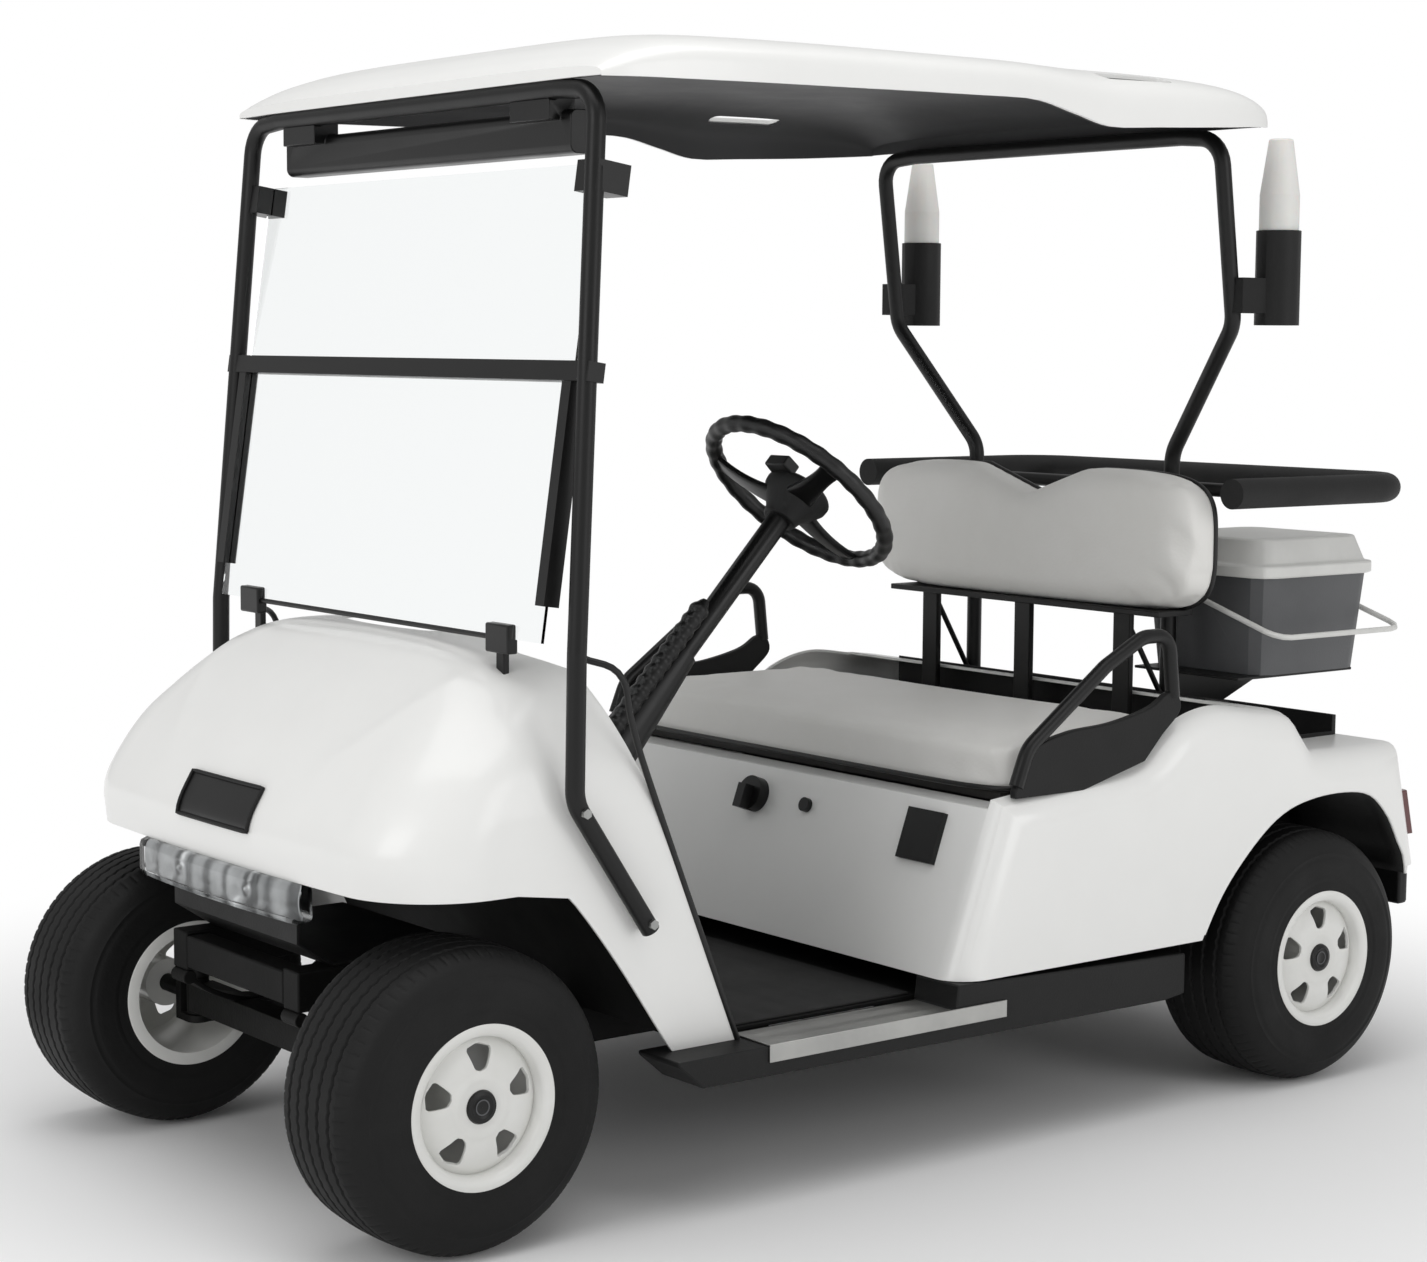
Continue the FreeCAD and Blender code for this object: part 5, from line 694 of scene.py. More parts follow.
def make_cowl():
    """Hood rows follow the shares; below the lip each leg is straight across between its two edges."""
    levels = smooth(LEVEL_SHARES, HOOD_ROWS)
    left = np.array([hood_row(LIP_Z + (TOP_Z - LIP_Z) * min(up, 1.0), ahead, wide)
                     for up, ahead, wide in levels])
    hood = creased(np.concatenate([left, left[:, ::-1][:, 1:] * MIRROR], axis=1))
    z = np.linspace(LIP_Z, FOOT_Z, LEG_ROWS)
    edge = smooth(ARCH_EDGE, 60)
    front = np.interp(z, edge[:, 1], edge[:, 0])
    front[0] = left[0, LEG_COLUMNS - 1, 0]
    rear = leg_rear_x(z)
    x = rear[:, None] + (front - rear)[:, None] * np.linspace(0, 1, LEG_COLUMNS)
    leg = np.stack(np.broadcast_arrays(x, COWL_HALF, z[:, None]), axis=-1)
    leg_faces = grid_faces(LEG_ROWS, LEG_COLUMNS)
    points, faces = joined([(hood, grid_faces(*hood.shape[:2])), (leg, [quad[::-1] for quad in leg_faces]),
                            (leg * MIRROR, leg_faces)])
    mesh = mesh_mm("front_cowl_shell", points, faces)
    piece = settle("front_cowl_shell", mesh, "chassis", body_white, "body_white", 50.0, ("front_cowl",))
    face_up(piece.data)
    thicken(piece, WALL)
    soften(piece, 1.6, 3, 60.0)
    for word, side in SIDES:
        line = [(x - 1.0, COWL_HALF - 1.0, z) for z, x in LEG_REAR[:3]] + [EDGE_RUBBER_TOP]
        rings = carried(smooth(np.array(line) * [1, side, 1], 60), EDGE_RUBBER_RADIUS, 10)
        block(f"cowl_edge_rubber_{word}", rings, "chassis", welt_black, "trim_black")


PLATE_HALF, PLATE_LOW, PLATE_HIGH, PLATE_LIFT, PLATE_WALL = 108.0, 556.0, 618.0, 2.6, 4.0
PLATE_FRAME_LIFT, PLATE_FRAME_RADIUS = 1.2, 3.0


def make_nose_plate():
    """A blank plate on the nose, which follows the bow x = front - b (y / y0)^2, and its raised frame."""
    y = np.linspace(-PLATE_HALF, PLATE_HALF, 25)
    z = np.linspace(PLATE_LOW, PLATE_HIGH, 7)
    levels = smooth(LEVEL_SHARES, HOOD_ROWS)
    reach = np.interp((z - LIP_Z) / (TOP_Z - LIP_Z), levels[:, 0], levels[:, 1])[:, None]
    front = COWL_REAR + (COWL_FRONT - COWL_REAR) * reach
    x = front - BOW * (y / (COWL_HALF - CORNER)) ** 2 + PLATE_LIFT
    points = np.stack(np.broadcast_arrays(x, y, z[:, None]), axis=-1)
    plate = sheet("nose_plate_blank", points, "chassis", smooth_black, "trim_black")
    thicken(plate, PLATE_WALL)
    soften(plate, 1.0)
    edge = np.concatenate([points[0], points[1:-1, -1], points[-1, ::-1], points[1:-1, 0][::-1]])
    frame_rings = carried(edge + [PLATE_FRAME_LIFT, 0, 0], PLATE_FRAME_RADIUS, 10, closed=True)
    hoop("nose_plate_frame", frame_rings, "chassis", grained_black, "trim_black")


# Roof

ROOF_FRONT, ROOF_REAR, ROOF_HALF = 702.0, -676.0, 545.0
ROOF_CROWN, ROOF_LIP, CROWN_POWER = 1715.0, 1629.0, 4.5
# Way back, height of the lip, height of the crown and half width
ROOF_SHARES = [
    (0.000, 0.00, 0.22, 0.945), (0.020, 0.00, 0.46, 0.965), (0.050, 0.01, 0.70, 0.980),
    (0.100, 0.02, 0.90, 0.992), (0.200, 0.05, 0.97, 1.000), (0.350, 0.09, 1.00, 1.000),
    (0.500, 0.13, 1.00, 1.000), (0.580, 0.13, 1.00, 1.000), (0.640, -0.06, 1.00, 1.000),
    (0.700, -0.25, 1.00, 1.000), (0.780, -0.20, 1.00, 1.000), (0.880, -0.12, 0.96, 0.998),
    (0.940, -0.06, 0.86, 0.985), (0.980, -0.02, 0.66, 0.955), (1.000, 0.00, 0.42, 0.920)]
ROOF_END_SHARE = 0.02
# The last two numbers are the wall and inset of the dark grey sheet under the roof, which paints the roof's
# shade
SHELL_WALL, SHADE_SHEET_WALL, SHADE_SHEET_INSET = 6.0, 2.0, 8.0
GRIP_X, GRIP_Y, GRIP_RUN, GRIP_ROUND, GRIP_LEVELS = -354.0, 500.0, 67.0, 15.0, (1560.0, 1760.0)


def roof_points(inset, rows=72, columns=57):
    """Arches |y / half|^p + |z / rise|^p = 1 whose half width, lip and crown follow the shares."""
    shares = smooth(ROOF_SHARES, rows)
    first, last = ([end[0], end[1], end[1] + ROOF_END_SHARE, end[3]] for end in (shares[0], shares[-1]))
    shares = np.vstack([first, shares, last])[:, :, None]
    rise = ROOF_CROWN - ROOF_LIP
    up, out = rounded(np.pi * (np.linspace(0, 1, columns) - 0.5), 2 / CROWN_POWER)
    x = ROOF_FRONT - inset - (ROOF_FRONT - ROOF_REAR - inset * 2) * np.clip(shares[:, 0], 0, 1)
    lip = ROOF_LIP + rise * shares[:, 1]
    crown = np.maximum(ROOF_LIP + rise * np.minimum(shares[:, 2], 1.0) - inset, lip + 1)
    half = ROOF_HALF * np.minimum(shares[:, 3], 1.0) - inset
    return np.stack(np.broadcast_arrays(x, half * out, lip + (crown - lip) * up), axis=-1)


def make_roof():
    """The white moulding and a dark grey sheet under it that paints the shade of its underside, both cut by two
    hand grips with half-round ends.
    """
    c, s = np.cos(circle(32)), np.sin(circle(32))
    x = GRIP_X + GRIP_RUN * np.sign(c) + GRIP_ROUND * c
    grips = [np.stack([np.column_stack([x, side * GRIP_Y + GRIP_ROUND * s, np.full(32, z)])
                       for z in GRIP_LEVELS]) for word, side in SIDES]
    # The second piece is a dark grey sheet just under the shell: painted shade of the roof's underside
    for name, inset, material, wall, replaces in (("roof_shell", 0.0, body_white, SHELL_WALL, ("roof",)),
                                                  ("roof_underside_shade_sheet", SHADE_SHEET_INSET, roof_underside_painted_shade, SHADE_SHEET_WALL, ())):
        piece = sheet(name, roof_points(inset), "chassis", material, "body_white", sharp=60.0,
                      replaces=replaces)
        face_up(piece.data)
        thicken(piece, wall)
        cut_by(piece, grips, 35.0)


# Rear body

BODY_HALF, BODY_ROUND = 560.0, 55.0
BODY_FOOT_X, BODY_TOP_X = 52.0, -48.0
BODY_REAR_TOP_X, BODY_REAR_X = -1026.0, -1080.0
SILL_FRONT_Z, SILL_REAR_Z, SHOULDER_Z, FENDER_Z, REAR_FOOT_Z = 279.0, 264.0, 556.0, 668.0, 346.0
BODY_DEEP_Z = SILL_REAR_Z - BODY_ROUND * 2
CUT_DEEP_Z = BODY_DEEP_Z - 40
REAR_AXLE_X = -772.0
# Way back and height of the fender's crest
CREST_SHARES = [
    (0.0, 0.0), (0.166, 0.14), (0.319, 0.27), (0.411, 0.80), (0.503, 1.0), (0.609, 0.90), (0.697, 0.77),
    (0.738, 0.43), (0.771, 0.16), (0.851, 0.09), (1.0, 0.09)]
# The wheel arch about the axle, in radii of the tyre
ARCH_SHARES = [
    (1.28, 0.10), (1.237, 0.279), (0.945, 0.708), (0.447, 1.123), (-0.046, 1.265), (-0.621, 1.247),
    (-0.904, 1.059), (-1.073, 0.799), (-1.169, 0.603), (-1.20, 0.10)]
ARCH_INNER_Y, ARCH_OUTER_Y = 300.0, 575.0
# X, Y and Z of what is cut out: below the sill, below the tail, the seat's opening and the bag well
BODY_CUTS = [
    ((-1110, 90), (-570, 570), (CUT_DEEP_Z, SILL_FRONT_Z)),
    ((-1110, REAR_AXLE_X), (-570, 570), (CUT_DEEP_Z, REAR_FOOT_Z)),
    ((-640, 80), (-518, 518), (540, 700)),
    ((-1019.7, -670), (-400, 400), (430, 720))]
HOUSE_OUTER_Y, HOUSE_INNER_Y, HOUSE_FOOT_Z, HOUSE_WALL, HOUSE_LAP = 556.0, 312.0, 300.0, 3.0, 16.0
ARCH_EDGE_Y, ARCH_EDGE_RADIUS = 557.6, 3.2
# X, Y and Z of the ledge's four sides round the seat's opening and of its upright rear wall
SEAT_LEDGE = [
    ((-640, -50), (-518, -470), (535, 540)), ((-640, -50), (470, 518), (535, 540)),
    ((-640, -540), (-470, 470), (535, 540)), ((-98, -50), (-470, 470), (535, 540)),
    ((-645, -640), (-518, 518), (535, 600))]


def inset_outline(points, inset):
    """Moves each side of a closed outline, which has its inside on the left, inwards."""
    ahead = unit(np.roll(points, -1, 0) - points)
    behind = np.roll(ahead, 1, 0)
    inward = np.stack([-(ahead[:, 1] + behind[:, 1]), ahead[:, 0] + behind[:, 0]], axis=1)
    return points + inward * (2 * inset / np.sum(inward ** 2, axis=1, keepdims=True))


def body_outline():
    """The side outline: front panel, smooth crest over the fender, tail, and a flat foot far down."""
    run, rise = BODY_REAR_TOP_X - BODY_TOP_X, FENDER_Z - SHOULDER_Z
    crest = smooth(np.array(CREST_SHARES) * [run, rise] + [BODY_TOP_X, SHOULDER_Z], 90)
    kept = np.abs(crest[:, 0] - (crest[0, 0] + crest[-1, 0]) / 2) < -run / 2 - BODY_ROUND * 1.5
    kept[[0, -1]] = True
    return np.vstack([[(BODY_FOOT_X, SILL_FRONT_Z)], crest[kept],
                      [(BODY_REAR_X, REAR_FOOT_Z), (BODY_REAR_X, BODY_DEEP_Z), (BODY_FOOT_X, BODY_DEEP_Z)]])


def body_rings(inset, steps=8):
    """Outlines that shrink towards each side: y = half - r (1 - cos a), inset = r (1 - sin a)."""
    outline = inset_outline(body_outline(), inset)
    half, radius = BODY_HALF - inset, BODY_ROUND - inset
    rings = np.concatenate([
        across(inset_outline(outline, radius * (1 - math.sin(a))), [half - radius * (1 - math.cos(a))])
        for a in np.linspace(0, np.pi / 2, steps)])
    return np.concatenate([rings * MIRROR, rings[::-1]])


def make_rear_body():
    """The shell between two rounded blocks, with its listed cuts, wheel arches, houses and ledge."""
    piece = block("rear_body_shell", body_rings(0.0), "chassis", body_white, "body_white",
                  replaces=("rear_body",))
    face_out(piece.data)
    arch = smooth(np.array(ARCH_SHARES) * TYRE_RADIUS + [REAR_AXLE_X, AXLE_Z], 48)
    opening = np.vstack([(arch[0, 0], CUT_DEEP_Z), arch, (arch[-1, 0], CUT_DEEP_Z)])
    arches = [across(opening, sorted((side * ARCH_INNER_Y, side * ARCH_OUTER_Y))) for word, side in SIDES]
    cut_by(piece, [body_rings(WALL)] + [corners(*space) for space in BODY_CUTS] + arches, 28.0)
    soften(piece, 1.6, 2, 50.0)
    foot_z = np.where(arch[:, 0] > REAR_AXLE_X, SILL_FRONT_Z, REAR_FOOT_Z - HOUSE_LAP)
    arch = arch[arch[:, 1] > foot_z]
    for word, side in SIDES:
        house = across(arch, np.linspace(side * HOUSE_OUTER_Y, side * HOUSE_INNER_Y, 8))
        inner = np.stack([house[-1], house[-1] * [1, 1, 0] + [0, 0, HOUSE_FOOT_Z]])
        for name, points, sharp in (("wheel_house", house, 60.0), ("wheel_house_wall", inner, 40.0)):
            thicken(sheet(f"{name}_{word}", points, "chassis", grained_black, "trim_black", sharp=sharp),
                    HOUSE_WALL, 0.0)
        edge = carried(across(arch, [side * ARCH_EDGE_Y])[0], ARCH_EDGE_RADIUS, 10)
        block(f"arch_edge_{word}", edge, "chassis", body_white, "body_white")
    points, faces = joined([(corners(*space), block_faces(2, 4)) for space in SEAT_LEDGE])
    settle("seat_ledge", mesh_mm("seat_ledge", points, faces), "chassis", body_white, "body_white")


# Cushions

BENCH_PLAN, BENCH_ROLL, BENCH_EDGE = 2 / 9.0, 2 / 5.0, 26.0
BENCH_IN_LOW, BENCH_IN_HIGH = (6.0, 8.0, 0.0), (6.0, 8.0, 12.0)
BENCH_WELT_IN, BENCH_WELT_UP, BENCH_WELT_RADIUS = (3.0, 5.0), 7.0, 4.2
BACK_Y_BEND, BACK_Z_BEND, BACK_ROLL = 2 / 7.0, 2 / 4.0, 0.35
BACK_LIP, BACK_DROP, BACK_IN, BACK_FRONT_GAP, BACK_REAR_GAP = 10.0, 5.0, 6.0, 12.0, 4.0
BACK_SHRINK_Y, BACK_SHRINK_Z = 0.10, 0.22
NOTCH_DEPTH, NOTCH_HALF, NOTCH_POWER = 50.0, 80.0 * 0.72, 2.2
BACK_WELT_SHARES, BACK_WELT_OUT, BACK_WELT_RADIUS = (0.985, 0.97), 6.0, 5.0
HELD_MM = 8.0
PRESSURE, CLOTH_STEPS = 5.0, 20


def bench_points(low, high, rows=26, columns=96):
    """|x / a|^9 + |y / b|^9 = 1 in plan, less e (1 - |cos|^0.4) as the height goes by |sin|^0.4."""
    middle, half = (low + high) / 2, (high - low) / 2
    plan_x, plan_y = rounded(circle(columns), BENCH_PLAN)
    shrink, lift = rounded(np.linspace(-np.pi / 2, np.pi / 2, rows)[:, None], BENCH_ROLL)
    x = middle[0] + plan_x * (half[0] - BENCH_EDGE * (1 - shrink))
    y = middle[1] + plan_y * (half[1] - BENCH_EDGE * (1 - shrink))
    return np.stack(np.broadcast_arrays(x, y, middle[2] + half[2] * lift), axis=-1)


def spots(mesh):
    """A mesh's points as an array."""
    flat = np.empty(len(mesh.vertices) * 3)
    mesh.vertices.foreach_get("co", flat)
    return flat.reshape(-1, 3)


def blown(piece, cap_mm, held):
    """Blows a closed cover up as cloth, then limits each point's way d to cap tanh(d / cap)."""
    before = spots(piece.data)
    group = piece.vertex_groups.new(name="held")
    group.add(np.flatnonzero(held(before / MM)).tolist(), 1.0, "REPLACE")
    cloth = piece.modifiers.new("cover", "CLOTH")
    cloth.settings.use_pressure = True
    cloth.settings.uniform_pressure_force = PRESSURE
    cloth.settings.effector_weights.gravity = 0
    cloth.settings.vertex_group_mass = "held"
    cloth.settings.tension_stiffness = 15
    cloth.settings.quality = 5
    cloth.point_cache.frame_start = 1
    cloth.point_cache.frame_end = CLOTH_STEPS
    scene = bpy.context.scene
    for step in range(1, CLOTH_STEPS + 1):
        scene.frame_set(step)
    bake(piece)
    moved = spots(piece.data) - before
    length = np.linalg.norm(moved, axis=1, keepdims=True)
    limit = cap_mm * MM
    moved *= np.where(length > 1e-9, limit * np.tanh(length / limit) / np.maximum(length, 1e-9), 1)
    piece.data.vertices.foreach_set("co", (before + moved).ravel())
    piece.data.update()
    scene.frame_set(1)


def stuffed(piece, cell_mm, cap_mm, held, rounds):
    """Gives a closed cover even cells, blows it up, and evens what comes out."""
    face_out(piece.data)
    voxels = piece.modifiers.new("cells", "REMESH")
    voxels.mode = "VOXEL"
    voxels.voxel_size = cell_mm * MM
    bake(piece)
    blown(piece, cap_mm, held)
    even = piece.modifiers.new("even", "SMOOTH")
    even.factor = 0.5
    even.iterations = rounds
    bake(piece)
    shade(piece.data, 180.0)


def make_seat():
    """The bench cushion, crowned by its stuffing, with a welt |x / a|^9 + |y / b|^9 = 1 round its foot."""
    low, high = box_mm("seat_cushion")
    rings = bench_points(low + BENCH_IN_LOW, high - BENCH_IN_HIGH)
    cushion = block("seat_cushion_cover", rings, "seat_bottom", seat_vinyl, "seat_vinyl",
                    replaces=("seat_cushion",))
    stuffed(cushion, 10.0, 13.0, lambda co: co[:, 2] < low[2] + HELD_MM, 6)
    plan = np.stack(rounded(circle(220), BENCH_PLAN), axis=1) * ((high - low)[:2] / 2 - BENCH_WELT_IN)
    path = np.column_stack([(low + high)[:2] / 2 + plan, np.full(len(plan), low[2] + BENCH_WELT_UP)])
    hoop("seat_cushion_welt", carried(path, BENCH_WELT_RADIUS, 10, closed=True), "seat_bottom", welt_black,
         "seat_vinyl")


def back_outline(half, low, high, count=220):
    """y = a |cos|^(2/7) and z = b |sin|^(2/4), less d (z / b) exp(-(|y| / w)^2.2) along the top."""
    middle, rise = (low + high) / 2, (high - low) / 2
    y = half * rounded(circle(count), BACK_Y_BEND)[0]
    z = middle + rise * rounded(circle(count), BACK_Z_BEND)[1]
    dip = np.exp(-(np.abs(y) / NOTCH_HALF) ** NOTCH_POWER)
    return np.stack([y, z - NOTCH_DEPTH * dip * (z > middle) * ((z - middle) / rise)], axis=1)


def make_seat_back():
    """The notched outline less shares of 1 - |cos|^0.35, as x goes by |sin|^0.35, stuffed and welted."""
    low, high = box_mm("seat_back_cushion")
    foot_z = low[2] - BACK_LIP
    outline = back_outline(high[1] - BACK_IN, foot_z, high[2] - BACK_DROP)
    middle = np.array([0.0, (foot_z + high[2]) / 2])
    shrink, lift = rounded(np.linspace(-np.pi / 2, np.pi / 2, 16)[:, None], BACK_ROLL)
    depth = high[0] - low[0] - BACK_FRONT_GAP - BACK_REAR_GAP
    x = low[0] + BACK_REAR_GAP + depth / 2 + depth / 2 * lift
    y = outline[:, 0] * (1 - BACK_SHRINK_Y * (1 - shrink))
    z = middle[1] + (outline[:, 1] - middle[1]) * (1 - BACK_SHRINK_Z * (1 - shrink))
    cushion = block("seat_back_cover", np.stack(np.broadcast_arrays(x, y, z), axis=-1), "chassis", seat_vinyl,
                    "seat_vinyl", replaces=("seat_back_cushion",))
    stuffed(cushion, 8.0, 12.0, lambda co: co[:, 0] < low[0] + HELD_MM, 5)
    edge = middle + (outline - middle) * BACK_WELT_SHARES
    path = np.column_stack([np.full(len(edge), low[0] + BACK_WELT_OUT), edge])
    hoop("seat_back_welt", carried(path, BACK_WELT_RADIUS, 10, closed=True, first=(1.0, 0.0, 0.0)), "chassis",
         welt_black, "seat_vinyl")


# Tubes of the canopy and what they carry

STRUT_RADIUS = 14.0
FRONT_STRUT = [(615.0, 519.0, 430.0), (747.0, 519.0, 626.0), (744.0, 519.0, 834.0), (689.0, 488.0, 1612.0),
               (689.0, 398.0, 1619.0)]
HOLDER_LOW = box_mm("bottle_holders")[0][2]
REAR_STRUT = [(-732.0, 252.0, 453.3), (-732.0, 252.0, 1075.0), (-684.0, 430.0, HOLDER_LOW),
              (-642.0, 430.0, 1612.0), (-642.0, 340.0, 1619.0)]
RACK = [(-646.0, 470.0, 1015.0), (-1111.0, 470.0, 1015.0), (-1111.0, -470.0, 1015.0),
        (-646.0, -470.0, 1015.0)]
RACK_RADIUS, CARRIER_RADIUS = 26.0, 12.0
CARRIER = [(-732.0, -468.0, 1015.0), (-732.0, 468.0, 1015.0)]
# The hip restraint in its own run and rise, from its front foot back and up
HIP_FOOT, HIP_RUN, HIP_RISE, HIP_Y = (-78.0, 567.0), -360.0, 230.0, 538.0
HIP_RADIUS, HIP_HALF_WALL = 12.0, 7.0
HIP_TUBE_SHARES = [(0.02, 0.03), (0.086, 0.284), (0.558, 0.802), (0.797, 0.987), (0.967, 0.987), (1.0, 0.54)]
HIP_SKIRT_SHARES = [
    (0.0, 0.0), (0.103, 0.267), (0.314, 0.37), (0.597, 0.405), (0.839, 0.483), (0.95, 0.573), (1.01, 0.573),
    (1.036, 0.44), (0.92, 0.276)]
HIP_FOOT_SHARES = [(0.81, 0.103), (0.42, -0.05), (0.0, -0.05)]
STRUT_BOLTS = {"bend": (738.0, 519.0, 612.0), "foot": (621.0, 519.0, 441.0)}
BOLT_RADIUS, BOLT_REACH = 7.5, 19.0


def hip_place(shares):
    """Shares of the hip restraint's run and rise as places in X and Z."""
    return np.array(shares) * [HIP_RUN, HIP_RISE] + HIP_FOOT


def make_tubes():
    """Hoops of the canopy, the padded rack hoop, the two hip restraints and the struts' bolts."""
    for end, strut in (("front", FRONT_STRUT), ("rear", REAR_STRUT)):
        route = np.concatenate([strut, np.array(strut)[::-1] * MIRROR])
        rod(f"{end}_strut_hoop", route, STRUT_RADIUS, "chassis", tube_black, "frame_black",
            replaces=(f"{end}_struts",))
    rod("bag_rack_sleeve", RACK, RACK_RADIUS, "chassis", foam_black, "rack_pad", bend=90.0, sides=28,
        replaces=("bag_rack",))
    rod("bag_rack_carrier", CARRIER, CARRIER_RADIUS, "chassis", tube_black, "frame_black")
    skirt = hip_place(np.vstack([smooth(HIP_SKIRT_SHARES, 60), HIP_FOOT_SHARES]))
    for word, side in SIDES:
        route = across(hip_place(HIP_TUBE_SHARES), [side * HIP_Y])[0]
        rod(f"hip_restraint_tube_{word}", route, HIP_RADIUS, "chassis", tube_black, "frame_black")
        rings = across(skirt, (side * HIP_Y - HIP_HALF_WALL, side * HIP_Y + HIP_HALF_WALL))
        piece = block(f"hip_restraint_skirt_{word}", rings, "chassis", grained_black, "frame_black",
                      replaces=("hip_restraints",) if side > 0 else ())
        face_out(piece.data)
        soften(piece, 2.5, 3, 50.0)
    for word, side in SIDES:
        for place, spot in STRUT_BOLTS.items():
            start = np.array(spot) * [1, side, 1]
            route = [start, start + [0, side * BOLT_REACH, 0]]
            rod(f"strut_bolt_{place}_{word}", route, BOLT_RADIUS, "chassis", bolt_zinc, "frame_black", sides=6)


POST_X, POST_Y = -622.0, 248.0
BRACE_HIGH_Z, BRACE_LOW_Z, BRACE_RADIUS = 795.0, 621.0, 5.0


def make_braces():
    """Two thin braces from the seat back's outer posts back to the rear struts."""
    for word, side in SIDES:
        route = [(POST_X, side * POST_Y, BRACE_HIGH_Z),
                 (REAR_STRUT[0][0], side * REAR_STRUT[0][1], BRACE_LOW_Z)]
        rod(f"seat_back_brace_{word}", route, BRACE_RADIUS, "chassis", tube_black, "frame_black", sides=12)


# Steering

COLUMN_FOOT, COLUMN_TOP = np.array([510.0, 250.0, 624.0]), np.array([166.0, 250.0, 987.0])
COLUMN_LINE = unit(COLUMN_TOP - COLUMN_FOOT)
LEFT = np.array([0.0, 1.0, 0.0])
WHEEL_UP = -np.cross(COLUMN_LINE, LEFT)
RIM_CENTRE = COLUMN_TOP + COLUMN_LINE * 58.3
RIM_RADIUS, GRIP_RADIUS, SWELL, SWELL_COUNT = 161.0, 13.2, 0.7, 30
SPOKE_ANGLES, SPOKE_START, SPOKE_SINK, SPOKE_WALL = (-90, 25, 155), 30.0, 22.0, 6.0
SPOKE_ROOT, SPOKE_WAIST, SPOKE_FLARE, SPOKE_BEND = 26.0, 12.0, 6.0, 0.5
# Place along the column and radius of the hub's pad, which is a little wider than high
PAD_PROFILE = [(-4, 26), (10, 30), (30, 44), (44, 52), (54, 53), (60, 48), (62, 34), (62, 0.5)]
PAD_START, PAD_WIDE_SHARE = 4.0, 1.15
CLIP_UP, CLIP_OUT, CLIP_LEVELS = 56.0, 6.0, (-8.0, 12.0)
CLIP_OUTLINE = [(-26, -14), (26, -14), (24, 14), (-24, 14)]
BOOT_OFFSET, BOOT_SHARE = np.array([34.0, 26.0, 20.0]), 0.62
BOOT_RADIUS, BOOT_RIPPLE, BOOT_FOLDS = 15.0, 1.3, 15


def around(angle, wide=1.0):
    """Directions in the steering wheel's plane: cos to the left, widened by a share, and sin up."""
    return np.cos(angle)[..., None] * LEFT * wide + np.sin(angle)[..., None] * WHEEL_UP


def make_steering():
    """A rim of radius R + s cos(30 a), three flat spokes, a padded hub with its clip, and the rippled boot."""
    body = "steering_wheel"
    turn = circle(180)
    rim = carried(RIM_CENTRE + RIM_RADIUS * around(turn), GRIP_RADIUS + SWELL * np.cos(turn * SWELL_COUNT), 20,
                  closed=True, first=tuple(COLUMN_LINE))
    hoop("steering_rim", rim, body, grip_black, "wheel_grip", replaces=("steering_wheel",))
    share = np.linspace(0, 1, 12)[:, None]
    width = SPOKE_ROOT - SPOKE_WAIST * np.sin(share * np.pi / 2) + SPOKE_FLARE * share ** 6
    section = [part[None, :, None] for part in rounded(circle(16), SPOKE_BEND)]
    for i, place in enumerate(SPOKE_ANGLES):
        direction = around(np.radians(place))
        spine = (RIM_CENTRE + direction * (SPOKE_START + (RIM_RADIUS - SPOKE_START) * share)
                 + COLUMN_LINE * SPOKE_SINK * (share ** 2 - 1))
        rings = (spine[:, None] + section[0] * np.cross(COLUMN_LINE, direction) * width[:, None]
                 + section[1] * COLUMN_LINE * SPOKE_WALL)
        spoke = block(f"steering_spoke_{i + 1}", rings, body, smooth_black, "wheel_grip")
        face_out(spoke.data)
    ring = around(circle(48), PAD_WIDE_SHARE)
    pad = np.array([COLUMN_TOP + COLUMN_LINE * (PAD_START + along) + radius * ring
                    for along, radius in PAD_PROFILE])
    top = RIM_CENTRE + WHEEL_UP * CLIP_UP + COLUMN_LINE * CLIP_OUT
    clip = np.array([[top + LEFT * a + WHEEL_UP * b + COLUMN_LINE * level for a, b in CLIP_OUTLINE]
                     for level in CLIP_LEVELS])
    small_block("steering_hub_pad", pad, body, grained_black, "wheel_grip", 2.0, 2)
    small_block("score_card_clip", clip, body, smooth_black, "wheel_grip")
    dressed("steering_column", smooth_black, sharp=35.0)
    share = np.linspace(0, 1, 90)
    path = COLUMN_FOOT + BOOT_OFFSET + (COLUMN_TOP - COLUMN_FOOT) * BOOT_SHARE * share[:, None]
    ends = np.clip((1 - share) * 14 + 0.35, 0, 1) * np.clip(share * 20 + 0.6, 0, 1)
    ripple = (BOOT_RADIUS + BOOT_RIPPLE * np.cos(share * 2 * np.pi * BOOT_FOLDS)) * ends
    block("column_shroud_boot", carried(path, ripple, 24), "chassis", smooth_black, "trim_black")


# Lamps, windshield and small trim

LAMP_BOW, LAMP_HALF, LAMP_BACK = 11.0, 245.0, 20.0
FLUTE_DEPTH, FLUTE_PITCH, TROUGH_DEPTH = 1.9, 58.0, 7.0
BOWL_PLACES, BOWL_DEPTH, BOWL_HALF, BOWL_RISE = (-112.0, 92.0), 13.0, 34.0, 23.0
BULB_DEPTH, BULB_RADIUS = 12.0, 8.0


